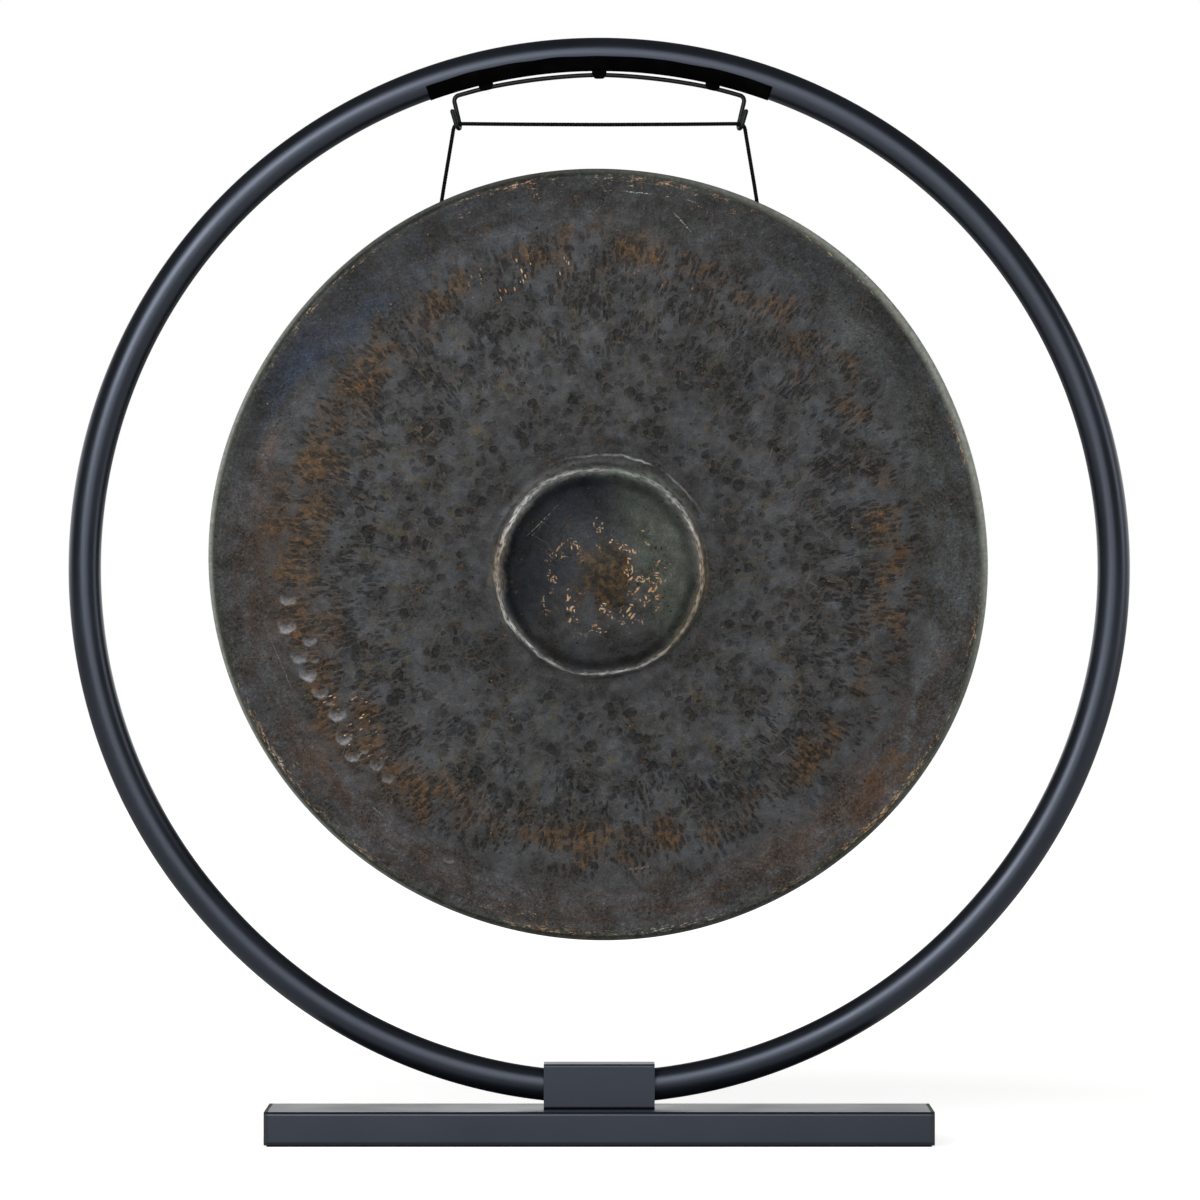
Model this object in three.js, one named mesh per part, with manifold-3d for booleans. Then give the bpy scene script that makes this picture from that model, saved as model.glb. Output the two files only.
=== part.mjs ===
// Gong stand: a hoop of steel tube stands upright in a socket on a flat foot bar, and a bossed gong
// hangs on a cord from two hooks at the top of the hoop. Millimetres, +Z up, the front faces -Y.
// The origin is on the floor, under the middle of the stand.

import * as THREE from "three";
import { mergeVertices } from "three/addons/utils/BufferGeometryUtils.js";
import Module from "manifold-3d";

const wasm = await Module();
wasm.setup();

// Clearances that every fit shares
const seatGap = 0.3;
const slidingGap = 0.5;
const cutOverrun = 2;

// Facets round corners and holes
const cornerFacets = 4;
const plugFacets = 2;
const matFacets = 6;
const boltHoleFacets = 16;
const boltFacets = 12;
const accessHoleFacets = 20;

// Foot: a rectangular tube with a plastic cap in each end, on a rubber mat
const footLength = 520;
const footDepth = 100;
const footBarHeight = 26;
const footWall = 3;
const footCornerRadius = 3;
const capFlange = 3;
const capPlugDepth = 16;
const capPlugWall = 2.5;
const matThickness = 1;
const matInset = 2;

// Socket: a square tube on the foot, open at both ends, that holds the bottom of the hoop
const socketSize = 35;
const socketLength = 86.5;
const socketWall = 3;
const socketCornerRadius = 2.2;

// Hoop: round tube rolled to a ring, whose ends leave the rolls a little flatter than the rest
const tubeDiameter = 25.4;
const tubeWall = 1.5;
const hoopRadius = 402;
const endFlattening = 3.4;
const flattenedDeg = 50;
const flatteningPower = 1.5;
const hoopSlit = 0.6;
const hoopStepDeg = 4.5;
const hoopSides = 16;
const boreSides = 8;
const spigotHalfSteps = 2;

// Two bolts from inside the foot, through the socket and the hoop, into the spigot
const boltDiameter = 8;
const boltSpacing = 44;
const boltHeadAcrossCorners = 14.4;
const boltHeadHeight = 5.3;
const boltReach = 5;
const washerDiameter = 16;
const washerThickness = 1.6;
const accessHoleDiameter = 20;

// Crown strip: a thin matt half shell on the inner side of the hoop, which the hanger sits on
const stripHalfDeg = 19.8;
const stripWrapDeg = 78.5;
const stripThickness = 0.5;
const stripFacets = 7;

// Hanger: one rod under the crown, bent at each end into a leg and an upright hook
const rodDiameter = 3.5;
const rodStandoff = 3.7;
const rodBow = 0.5;
const rodEndDeg = 17.2;
const rodSteps = 14;
const rodBendRadius = 4.5;
const rodBendSteps = 5;
const rodSides = 8;
const hookDrop = 21.3;
const hookX = 109.5;
const hookHalfGap = 4.6;
const hookBendShare = 0.92;
const hookTwist = 1.3;
const hookTipRise = 9.5;
const hookTipOut = 3.8;
const lugDeg = 13.2;
const lugLength = 11.5;
const lugCheek = 1.4;
const centreLugFloor = 0.9;

// Cord: over both hooks and down to the two holes in the gong's rim, with a knot on each end
const cordDiameter = 3;
const cordSides = 8;
const cordLegDrop = 63.5;
const knotDiameter = 8;

// Gong: a hammered bronze bowl with a raised boss, open at the back
const gongSideGap = 86;
const gongWall = 2.3;
const rimDepth = 58;
const rimTaper = 4;
const shoulderRadius = 8;
const faceCrown = 4;
const bossRadius = 84;
const bossHeight = 45;
const bossFilletRadius = 9;
const bossRidgeHeight = 1.4;
const bossRidgeWidth = 12;
const bossSag = 10;
const bossSagShares = [0.42, 0.88];
const rimHoleX = 123.6;
const rimHoleSetback = 31;
const rimHoleDiameter = 5;
const gongFacets = 56;

// Heights that follow from the sizes above
const footTopZ = matThickness + footBarHeight;
const socketFloorZ = footTopZ + socketWall;
const tubeRadius = tubeDiameter / 2;
const hoopCentreZ = socketFloorZ + seatGap + tubeRadius + hoopRadius + endFlattening;
const rodArcRadius = hoopRadius - tubeRadius - rodStandoff;
const hookLineZ = hoopCentreZ + rodArcRadius * Math.cos(rad(rodEndDeg)) - hookDrop;
const hookFloor = (rodDiameter + cordDiameter) / 2 + seatGap;
const rimHoleZ = hookLineZ - cordLegDrop;
const hookLineY = -hookHalfGap;
const gongDiameter = 2 * (hoopRadius - tubeRadius - gongSideGap);

function rad(degrees) {
  return THREE.MathUtils.degToRad(degrees);
}

// A closed geometry as a solid for cutting and joining.
function solidOf(geometry) {
  const bare = geometry.clone();
  bare.deleteAttribute("normal");
  bare.deleteAttribute("uv");
  const merged = mergeVertices(bare);
  const corners = merged.index.array;
  const kept = [];
  for (let i = 0; i < corners.length; i += 3) {
    const [a, b, c] = corners.slice(i, i + 3);
    if (a !== b && b !== c && c !== a) kept.push(a, b, c);
  }
  return new wasm.Manifold(
    new wasm.Mesh({
      numProp: 3,
      vertProperties: merged.attributes.position.array,
      triVerts: new Uint32Array(kept),
    }),
  );
}

function geometryOf(solid) {
  const mesh = solid.getMesh();
  const geometry = new THREE.BufferGeometry();
  geometry.setAttribute("position", new THREE.BufferAttribute(mesh.vertProperties, mesh.numProp));
  geometry.setIndex(new THREE.BufferAttribute(mesh.triVerts, 1));
  geometry.computeVertexNormals();
  return geometry;
}

function cut(geometry, cutters) {
  return geometryOf(cutters.reduce((rest, cutter) => rest.subtract(solidOf(cutter)), solidOf(geometry)));
}

function join(first, second) {
  return geometryOf(solidOf(first).add(solidOf(second)));
}

// A route through given points: each point is one step, so steps lie close together in the bends.
class PointRoute extends THREE.Curve {
  constructor(points) {
    super();
    this.points = points;
  }

  getPoint(t, target = new THREE.Vector3()) {
    const place = THREE.MathUtils.clamp(t, 0, 1) * (this.points.length - 1);
    const index = Math.min(Math.floor(place), this.points.length - 2);
    return target.lerpVectors(this.points[index], this.points[index + 1], place - index);
  }

  getUtoTmapping(u) {
    return u;
  }
}

// A section carried along a route. On the hoop's plane its x is -Y and its y points inwards.
function sweep(section, points, curveSegments) {
  const steps = points.length - 1;
  return new THREE.ExtrudeGeometry(section, {
    steps,
    curveSegments,
    extrudePath: new PointRoute(points),
  });
}

// Straight runs between corners, with a round bend of its own radius at each corner that has one.
function bentRoute(corners, bendSteps) {
  const points = [];
  corners.forEach(({ at, bend }, i) => {
    if (!bend) {
      points.push(at);
      return;
    }
    const back = corners[i - 1].at.clone().sub(at).normalize();
    const on = corners[i + 1].at.clone().sub(at).normalize();
    const half = back.angleTo(on) / 2;
    const start = back.clone().multiplyScalar(bend / Math.tan(half)).add(at);
    const centre = back.clone().add(on).normalize().multiplyScalar(bend / Math.sin(half)).add(at);
    const normal = new THREE.Vector3().crossVectors(back, on).normalize();
    const turn = Math.PI - 2 * half;
    for (let k = 0; k <= bendSteps; k++) {
      const arm = start.clone().sub(centre).applyAxisAngle(normal, (-turn * k) / bendSteps);
      points.push(arm.add(centre));
    }
  });
  return points;
}

function roundedRectangle(width, height, radius) {
  const [x, y] = [width / 2 - radius, height / 2 - radius];
  const shape = new THREE.Shape();
  shape.absarc(x, y, radius, 0, Math.PI / 2);
  shape.absarc(-x, y, radius, Math.PI / 2, Math.PI);
  shape.absarc(-x, -y, radius, Math.PI, 1.5 * Math.PI);
  shape.absarc(x, -y, radius, 1.5 * Math.PI, 2 * Math.PI);
  return shape;
}

function boxTube(width, height, radius, wall) {
  const shape = roundedRectangle(width, height, radius);
  const boreRadius = Math.max(radius - wall, radius / 3);
  shape.holes.push(roundedRectangle(width - 2 * wall, height - 2 * wall, boreRadius));
  return shape;
}

function circle(radius) {
  const shape = new THREE.Shape();
  shape.absarc(0, 0, radius, 0, 2 * Math.PI);
  return shape;
}

// A regular polygon inside the circle, with a corner at the top.
function polygon(radius, sides) {
  const corners = [];
  for (let i = 0; i < sides; i++) {
    const angle = Math.PI / 2 + (2 * Math.PI * i) / sides;
    corners.push(new THREE.Vector2(radius * Math.cos(angle), radius * Math.sin(angle)));
  }
  return new THREE.Shape(corners);
}

// A section in Y and Z, drawn out along X and centred on it.
function alongX(section, length, curveSegments) {
  const geometry = new THREE.ExtrudeGeometry(section, {
    depth: length,
    bevelEnabled: false,
    curveSegments,
  });
  geometry.translate(0, 0, -length / 2);
  const axes = [new THREE.Vector3(0, 1, 0), new THREE.Vector3(0, 0, 1), new THREE.Vector3(1, 0, 0)];
  return geometry.applyMatrix4(new THREE.Matrix4().makeBasis(...axes));
}

// An upright round bar or cutter between two heights.
function post(diameter, lowZ, highZ, sides) {
  const geometry = new THREE.CylinderGeometry(diameter / 2, diameter / 2, highZ - lowZ, sides);
  geometry.rotateX(Math.PI / 2);
  return geometry.translate(0, 0, (lowZ + highZ) / 2);
}

const stand = new THREE.Group();

function add(parent, name, geometry, material) {
  const mesh = new THREE.Mesh(geometry, material);
  mesh.name = name;
  parent.add(mesh);
  return mesh;
}

function powderCoat() {
  return new THREE.MeshStandardMaterial({ color: "#3a3d43", roughness: 0.42, metalness: 0.1 });
}

function matBlackPaint() {
  return new THREE.MeshStandardMaterial({ color: "#0b0b0d", roughness: 0.9, metalness: 0 });
}

function blackRod() {
  return new THREE.MeshStandardMaterial({ color: "#15181c", roughness: 0.35, metalness: 0.4 });
}

function blackPlastic() {
  return new THREE.MeshStandardMaterial({ color: "#2b2d31", roughness: 0.55, metalness: 0 });
}

function blackRubber() {
  return new THREE.MeshStandardMaterial({ color: "#18191a", roughness: 0.95, metalness: 0 });
}

function blackCord() {
  return new THREE.MeshStandardMaterial({ color: "#0d0d0e", roughness: 0.85, metalness: 0 });
}

function zincSteel() {
  return new THREE.MeshStandardMaterial({ color: "#9a9c9b", roughness: 0.4, metalness: 0.9 });
}

function darkBronze() {
  return new THREE.MeshStandardMaterial({ color: "#3e3e3f", roughness: 0.5, metalness: 0.6 });
}

// The bolts' places along X
const boltPlaces = [
  ["left", -boltSpacing / 2],
  ["right", boltSpacing / 2],
];

// A clearance hole for a bolt through the wall between two heights.
function boltHole(lowZ, highZ) {
  return post(boltDiameter + 2 * slidingGap, lowZ - cutOverrun, highZ + cutOverrun, boltHoleFacets);
}

// A hole in the underside of the foot, wide enough for a bolt's head and a socket wrench.
function accessHole() {
  return post(accessHoleDiameter, -cutOverrun, matThickness + footWall + cutOverrun, accessHoleFacets);
}

// Foot
function footBar() {
  const length = footLength - 2 * capFlange;
  const section = boxTube(footDepth, footBarHeight, footCornerRadius, footWall);
  const bar = alongX(section, length, cornerFacets).translate(0, 0, matThickness + footBarHeight / 2);
  const boltHoles = boltPlaces.map(([, x]) => boltHole(footTopZ - footWall, footTopZ).translate(x, 0, 0));
  const accessHoles = boltPlaces.map(([, x]) => accessHole().translate(x, 0, 0));
  return cut(bar, [...boltHoles, ...accessHoles]);
}

// A flange that finishes the end of the bar, and an open box behind it that plugs the bore.
function endCap() {
  const outline = roundedRectangle(footDepth, footBarHeight, footCornerRadius);
  const flange = alongX(outline, capFlange, cornerFacets);
  const plugWidth = footDepth - 2 * footWall - 2 * seatGap;
  const plugHeight = footBarHeight - 2 * footWall - 2 * seatGap;
  const plugLength = capPlugDepth + capFlange / 2;
  const section = boxTube(plugWidth, plugHeight, footCornerRadius / 2, capPlugWall);
  const plug = alongX(section, plugLength, plugFacets);
  plug.translate(-plugLength / 2, 0, 0);
  return join(flange, plug);
}

function footMat() {
  const outline = roundedRectangle(footLength - 2 * matInset, footDepth - 2 * matInset, footCornerRadius);
  boltPlaces.forEach(([, x]) => {
    const hole = new THREE.Path();
    hole.absarc(x, 0, accessHoleDiameter / 2, 0, 2 * Math.PI);
    outline.holes.push(hole);
  });
  return new THREE.ExtrudeGeometry(outline, {
    depth: matThickness,
    bevelEnabled: false,
    curveSegments: matFacets,
  });
}

function buildFoot() {
  add(stand, "foot_bar", footBar(), powderCoat());
  add(stand, "foot_mat", footMat(), blackRubber());
  const capX = footLength / 2 - capFlange / 2;
  const capZ = matThickness + footBarHeight / 2;
  const right = add(stand, "foot_end_cap_right", endCap(), blackPlastic());
  right.position.set(capX, 0, capZ);
  const left = add(stand, "foot_end_cap_left", endCap(), blackPlastic());
  left.position.set(-capX, 0, capZ);
  left.rotation.z = Math.PI;
}

// Socket
function socketSleeve() {
  const section = boxTube(socketSize, socketSize, socketCornerRadius, socketWall);
  const sleeve = alongX(section, socketLength, cornerFacets).translate(0, 0, footTopZ + socketSize / 2);
  return cut(sleeve, boltPlaces.map(([, x]) => boltHole(footTopZ, socketFloorZ).translate(x, 0, 0)));
}

// Hoop. An angle is counted from the top, and grows towards +X.
function hoopPoint(degrees, inwards) {
  const fromBottom = rad(180 - degrees);
  const limit = Math.cos(rad(flattenedDeg));
  const near = Math.max(0, (Math.cos(fromBottom) - limit) / (1 - limit));
  const radius = hoopRadius + endFlattening * near ** flatteningPower - inwards;
  const angle = rad(degrees);
  return new THREE.Vector3(radius * Math.sin(angle), 0, hoopCentreZ + radius * Math.cos(angle));
}

// Points of the hoop's line from one angle to another, at the hoop's own steps in between, which
// are half as long along the crown strip.
function hoopPoints(fromDeg, toDeg) {
  const angles = [fromDeg];
  for (let k = Math.floor(fromDeg / hoopStepDeg) * 2 + 1; (k * hoopStepDeg) / 2 < toDeg; k++) {
    const angle = (k * hoopStepDeg) / 2;
    if (angle > fromDeg && (k % 2 === 0 || Math.abs(angle) < stripHalfDeg)) angles.push(angle);
  }
  angles.push(toDeg);
  return angles.map((angle) => hoopPoint(angle, 0));
}

// Clearance holes for the bolts in the lower wall of the hoop and in the spigot.
function boltBores(lowZ) {
  const topZ = boltTopZ() + slidingGap;
  const diameter = boltDiameter + 2 * slidingGap;
  return boltPlaces.map(([, x]) => post(diameter, lowZ, topZ, boltFacets).translate(x, 0, 0));
}

function boltTopZ() {
  return hoopCentreZ - hoopRadius - endFlattening + boltReach;
}

function hoopTube() {
  const section = polygon(tubeRadius, hoopSides);
  section.holes.push(polygon(tubeRadius - tubeWall, boreSides));
  const endDeg = 180 - THREE.MathUtils.radToDeg(hoopSlit / 2 / hoopRadius);
  const tube = sweep(section, hoopPoints(-endDeg, endDeg), 1);
  return cut(tube, boltBores(socketFloorZ));
}

// A solid plug inside both ends of the hoop, which the bolts are screwed into.
function hoopSpigot() {
  const section = polygon(tubeRadius - tubeWall - slidingGap, boreSides);
  const points = [];
  for (let k = spigotHalfSteps; k >= -spigotHalfSteps; k--) {
    points.push(hoopPoint(180 + k * hoopStepDeg, 0));
  }
  return cut(sweep(section, points, 1), boltBores(socketFloorZ));
}

function frameBolt() {
  const headTopZ = footTopZ - footWall - washerThickness;
  const head = post(boltHeadAcrossCorners, headTopZ - boltHeadHeight, headTopZ, 6);
  const shank = post(boltDiameter, headTopZ - boltHeadHeight / 2, boltTopZ(), boltFacets);
  return join(head, shank);
}

function frameWasher() {
  const ring = circle(washerDiameter / 2);
  ring.holes.push(circle(boltDiameter / 2 + seatGap));
  const washer = new THREE.ExtrudeGeometry(ring, {
    depth: washerThickness,
    bevelEnabled: false,
    curveSegments: boltFacets / 2,
  });
  return washer.translate(0, 0, footTopZ - footWall - washerThickness);
}

function buildHoop() {
  add(stand, "socket_sleeve", socketSleeve(), powderCoat());
  add(stand, "hoop_tube", hoopTube(), powderCoat());
  add(stand, "hoop_spigot", hoopSpigot(), zincSteel());
  boltPlaces.forEach(([side, x]) => {
    add(stand, `frame_bolt_${side}`, frameBolt(), zincSteel()).position.x = x;
    add(stand, `frame_washer_${side}`, frameWasher(), zincSteel()).position.x = x;
  });
}

// Hanger
function crownStrip() {
  const inner = tubeRadius + seatGap;
  const outer = inner + stripThickness;
  const [start, end] = [90 - stripWrapDeg, 90 + stripWrapDeg].map(rad);
  const section = new THREE.Shape();
  section.absarc(0, 0, outer, start, end, false);
  section.absarc(0, 0, inner, end, start, true);
  return sweep(section, hoopPoints(-stripHalfDeg, stripHalfDeg), stripFacets);
}

// The rod's line under the crown: it touches down at each lug and bows away from the hoop between.
function rodArcPoint(degrees) {
  const bow = Math.abs(degrees) < lugDeg ? rodBow * Math.sin((Math.PI * Math.abs(degrees)) / lugDeg) : 0;
  return hoopPoint(degrees, tubeRadius + rodStandoff + bow);
}

// One hook's corners, from the tip of the return leg in front to the top of the main leg.
function hookCorners(side) {
  const floorZ = hookLineZ - hookFloor;
  const corner = (x, y, z, bend) => ({ at: new THREE.Vector3(side * x, y, z), bend });
  return [
    corner(hookX + hookTwist + hookTipOut, 2 * hookLineY, hookLineZ + hookTipRise, 0),
    corner(hookX + hookTwist, 2 * hookLineY, floorZ, hookHalfGap * hookBendShare),
    corner(hookX - hookTwist, 0, floorZ, hookHalfGap * hookBendShare),
  ];
}

function hangerRod() {
  const crown = [];
  for (let k = 0; k <= rodSteps; k++) {
    const bend = k === 0 || k === rodSteps ? rodBendRadius : 0;
    crown.push({ at: rodArcPoint(rodEndDeg * (2 * k / rodSteps - 1)), bend });
  }
  const corners = [...hookCorners(-1), ...crown, ...hookCorners(1).reverse()];
  return sweep(polygon(rodDiameter / 2, rodSides), bentRoute(corners, rodBendSteps), 1);
}

// A lug between the strip and the rod, with a groove that the rod lies in. Its floor, if it has
// one, closes the groove under the rod.
function hangerLug(floor) {
  const seatRadius = tubeRadius + 2 * seatGap + stripThickness;
  const rodCentre = tubeRadius + rodStandoff;
  const grooveRadius = rodDiameter / 2 + seatGap;
  const halfWidth = grooveRadius + lugCheek;
  const tipY = rodCentre + rodDiameter / 2;
  const spread = Math.asin(halfWidth / seatRadius);
  const section = new THREE.Shape();
  section.absarc(0, 0, seatRadius, Math.PI / 2 - spread, Math.PI / 2 + spread, false);
  if (floor > 0) {
    const floorY = rodCentre + grooveRadius + floor;
    section.lineTo(-halfWidth, rodCentre);
    section.lineTo(-grooveRadius, floorY);
    section.lineTo(grooveRadius, floorY);
    section.lineTo(halfWidth, rodCentre);
    const bore = new THREE.Path();
    bore.absarc(0, rodCentre, grooveRadius, 0, 2 * Math.PI);
    section.holes.push(bore);
  } else {
    section.lineTo(-halfWidth, tipY - lugCheek / 2);
    section.lineTo(-halfWidth + lugCheek / 2, tipY);
    section.lineTo(-grooveRadius, tipY);
    section.absarc(0, rodCentre, grooveRadius, Math.PI, 2 * Math.PI, false);
    section.lineTo(grooveRadius, tipY);
    section.lineTo(halfWidth - lugCheek / 2, tipY);
    section.lineTo(halfWidth, tipY - lugCheek / 2);
  }
  return section;
}

function buildHanger() {
  add(stand, "crown_strip", crownStrip(), matBlackPaint());
  add(stand, "hanger_rod", hangerRod(), blackRod());
  const places = [
    ["left", -lugDeg, 0],
    ["centre", 0, centreLugFloor],
    ["right", lugDeg, 0],
  ];
  places.forEach(([side, degrees, floor]) => {
    const geometry = alongX(hangerLug(floor), lugLength, 8);
    const lug = add(stand, `hanger_lug_${side}`, geometry.rotateX(Math.PI), matBlackPaint());
    lug.position.copy(hoopPoint(degrees, 0));
    lug.rotation.y = rad(degrees);
  });
}

// Half of the cord's route as X and the height over the hook line: from the middle of the span,
// over the hook, down to the hole in the rim and through it.
const cordHalfRoute = [
  [0, -0.6],
  [30, -0.5],
  [60, -0.35],
  [85, -0.15],
  [100, 0],
  [107.5, 0.05],
  [109.5, 0.02],
  [110.9, -0.25],
  [112.2, -1.05],
  [113.2, -2.4],
  [113.9, -4.6],
  [114.6, -9],
  [116.1, -18],
  [118.6, -33],
  [121.1, -48],
  [123.5, -63.3],
  [123.87, -65.5],
];

function cordPoints() {
  const right = cordHalfRoute.map(([x, z]) => new THREE.Vector3(x, hookLineY, hookLineZ + z));
  const left = right.slice(1).map((point) => point.clone().setX(-point.x));
  return [...left.reverse(), ...right];
}

function hangingCord() {
  const points = cordPoints();
  const smooth = new THREE.CatmullRomCurve3(points).getPoints(2 * (points.length - 1));
  return sweep(polygon(cordDiameter / 2, cordSides), smooth, 1);
}

// The way a leg of the cord runs down, on the side of +X or -X.
function legDirection(side) {
  const [[fromX, fromZ], [toX, toZ]] = cordHalfRoute.slice(-3, -1);
  return new THREE.Vector3(side * (toX - fromX), 0, toZ - fromZ).normalize();
}

// Gong. Its midline is drawn as radius and depth, from the top of the boss to the edge of the rim,
// with the front of the shoulder at depth 0.
function gongMidline() {
  const half = gongWall / 2;
  const radius = gongDiameter / 2;
  const domeRadius = (bossRadius ** 2 + bossHeight ** 2) / (2 * bossHeight);
  const domeCentre = domeRadius - bossHeight - faceCrown;
  const filletDepth = -faceCrown - bossFilletRadius;
  const filletX = Math.sqrt((domeRadius + bossFilletRadius) ** 2 - (filletDepth - domeCentre) ** 2);
  const domeAngle = Math.atan2(filletX, domeCentre - filletDepth);
  const points = [];
  arcShares(5).forEach((share) => {
    const angle = domeAngle * share;
    points.push([domeRadius * Math.sin(angle), domeCentre - domeRadius * Math.cos(angle)]);
  });
  arcShares(3).slice(1).forEach((share) => {
    const angle = domeAngle * (1 - share);
    points.push([
      filletX - bossFilletRadius * Math.sin(angle),
      filletDepth + bossFilletRadius * Math.cos(angle),
    ]);
  });
  arcShares(4).slice(1).forEach((share) => {
    const height = bossRidgeHeight * Math.sin(Math.PI * share) ** 2;
    points.push([filletX + bossRidgeWidth * share, -faceCrown - height]);
  });
  const faceStart = filletX + bossRidgeWidth;
  const shoulderX = radius - shoulderRadius;
  arcShares(2).slice(1).forEach((share) => {
    points.push([faceStart + (shoulderX - faceStart) * share, -faceCrown * (1 - share ** 2)]);
  });
  arcShares(3).slice(1).forEach((share) => {
    const angle = (Math.PI / 2) * share;
    const bend = shoulderRadius - half;
    points.push([shoulderX + bend * Math.sin(angle), bend * (1 - Math.cos(angle))]);
  });
  points.push([rimMidRadius((rimDepth + shoulderRadius) / 2), (rimDepth + shoulderRadius) / 2 - half]);
  points.push([rimMidRadius(rimDepth), rimDepth - half]);
  return points.map(([x, depth]) => new THREE.Vector2(x, depth + half));
}

// Even shares from 0 to 1.
function arcShares(steps) {
  return Array.from({ length: steps + 1 }, (_, i) => i / steps);
}

// The rim leans in a little towards its back edge.
function rimMidRadius(depth) {
  const share = (depth - shoulderRadius) / (rimDepth - shoulderRadius);
  return (gongDiameter - gongWall) / 2 - rimTaper * share;
}

// The closed outline of an even wall along a midline that starts on the axis.
function wallProfile(midline, wall) {
  const normals = midline.map((point, i) => {
    const before = midline[Math.max(i - 1, 0)];
    const after = midline[Math.min(i + 1, midline.length - 1)];
    const along = after.clone().sub(before).normalize();
    return i === 0 ? new THREE.Vector2(0, -1) : new THREE.Vector2(along.y, -along.x);
  });
  const offset = (amount) => midline.map((point, i) => point.clone().addScaledVector(normals[i], amount));
  return [...offset(wall / 2), ...offset(-wall / 2).reverse()];
}

// The boss sits a little below the middle, so the rings round it move down with it.
function sagBoss(geometry) {
  const place = geometry.attributes.position;
  const [inner, outer] = bossSagShares.map((share) => (share * gongDiameter) / 2);
  for (let i = 0; i < place.count; i++) {
    const radius = Math.hypot(place.getX(i), place.getZ(i));
    const share = 1 - THREE.MathUtils.smoothstep(radius, inner, outer);
    place.setZ(i, place.getZ(i) - bossSag * share);
  }
  return geometry;
}

function centroidOf(geometry) {
  const place = geometry.attributes.position;
  const corner = (i) => new THREE.Vector3().fromBufferAttribute(place, geometry.index.getX(i));
  const sum = new THREE.Vector3();
  let volume = 0;
  for (let i = 0; i < geometry.index.count; i += 3) {
    const [a, b, c] = [corner(i), corner(i + 1), corner(i + 2)];
    const share = a.dot(b.clone().cross(c));
    volume += share;
    sum.addScaledVector(a.add(b).add(c), share / 4);
  }
  return sum.divideScalar(volume);
}

// The gong hangs from the line through its two holes, at the angle that brings its weight under it.
function buildGong() {
  const rimRadius = rimMidRadius(rimHoleSetback);
  const holeHeight = Math.sqrt(rimRadius ** 2 - rimHoleX ** 2);
  const bowl = sagBoss(new THREE.LatheGeometry(wallProfile(gongMidline(), gongWall), gongFacets));
  bowl.translate(0, -rimHoleSetback, -holeHeight);
  const weight = centroidOf(geometryOf(solidOf(bowl)));

  const gong = new THREE.Group();
  gong.position.set(0, hookLineY, rimHoleZ);
  gong.rotation.x = Math.atan(weight.y / weight.z);
  gong.updateMatrix();
  stand.add(gong);

  const toGong = gong.matrix.clone().invert();
  const sides = [-1, 1];
  const drills = sides.map((side) => rimHoleCutter(side).applyMatrix4(toGong));
  add(gong, "gong_bowl", cut(bowl, drills), darkBronze());

  const inwards = new THREE.Vector3(-rimHoleX, 0, -holeHeight).normalize();
  const facetSag = (gongDiameter / 2) * (1 - Math.cos(Math.PI / gongFacets));
  const knotDepth = gongWall / 2 + facetSag + seatGap + knotDiameter / 2;
  sides.forEach((side) => {
    const name = side < 0 ? "cord_knot_left" : "cord_knot_right";
    const slant = legDirection(1).dot(inwards);
    const centre = rimHoleCentre(side).addScaledVector(legDirection(side), knotDepth / slant);
    const knot = add(stand, name, new THREE.SphereGeometry(knotDiameter / 2, 10, 6), blackCord());
    knot.position.copy(centre);
  });
}

function rimHoleCentre(side) {
  return new THREE.Vector3(side * rimHoleX, hookLineY, rimHoleZ);
}

function rimHoleCutter(side) {
  const reach = gongWall + cutOverrun;
  const drill = new THREE.CylinderGeometry(rimHoleDiameter / 2, rimHoleDiameter / 2, 2 * reach, 16);
  const along = new THREE.Quaternion().setFromUnitVectors(new THREE.Vector3(0, -1, 0), legDirection(side));
  drill.applyQuaternion(along);
  return drill.translate(...rimHoleCentre(side).toArray());
}

buildFoot();
buildHoop();
buildHanger();
add(stand, "hanging_cord", hangingCord(), blackCord());
buildGong();

export default stand;
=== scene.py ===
"""Looks of a gong stand: a powder coated steel hoop in a socket on a flat foot, a bent rod hanger
under its crown, a braided cord over two hooks, and a hammered bronze gong with a raised boss.

Metres, +Z up, the front faces -Y, and the origin is on the floor under the middle of the stand.
"""

import logging
import math
from dataclasses import dataclass, field
from enum import Enum

import bmesh
import bpy
import numpy as np
from bpy.types import Material, Mesh, Node, NodeTree, Object
from bpy.types import NodeSocket as Socket
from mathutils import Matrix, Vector


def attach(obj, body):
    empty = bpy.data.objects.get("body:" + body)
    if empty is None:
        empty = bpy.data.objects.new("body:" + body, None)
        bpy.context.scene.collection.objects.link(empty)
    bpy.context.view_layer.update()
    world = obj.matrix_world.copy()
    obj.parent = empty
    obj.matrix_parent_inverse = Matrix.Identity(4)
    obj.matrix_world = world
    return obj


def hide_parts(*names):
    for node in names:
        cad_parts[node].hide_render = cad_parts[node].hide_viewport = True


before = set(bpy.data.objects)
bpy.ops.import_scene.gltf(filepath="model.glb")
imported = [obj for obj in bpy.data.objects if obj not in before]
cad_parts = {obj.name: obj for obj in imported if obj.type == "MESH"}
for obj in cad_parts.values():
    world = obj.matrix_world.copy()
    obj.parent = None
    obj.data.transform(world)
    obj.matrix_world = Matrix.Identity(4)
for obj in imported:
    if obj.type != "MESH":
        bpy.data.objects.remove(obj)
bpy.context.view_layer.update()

log = logging.getLogger("gong_stand")

MM = 0.001
FRONT = (0.0, -1.0, 0.0)

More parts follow.
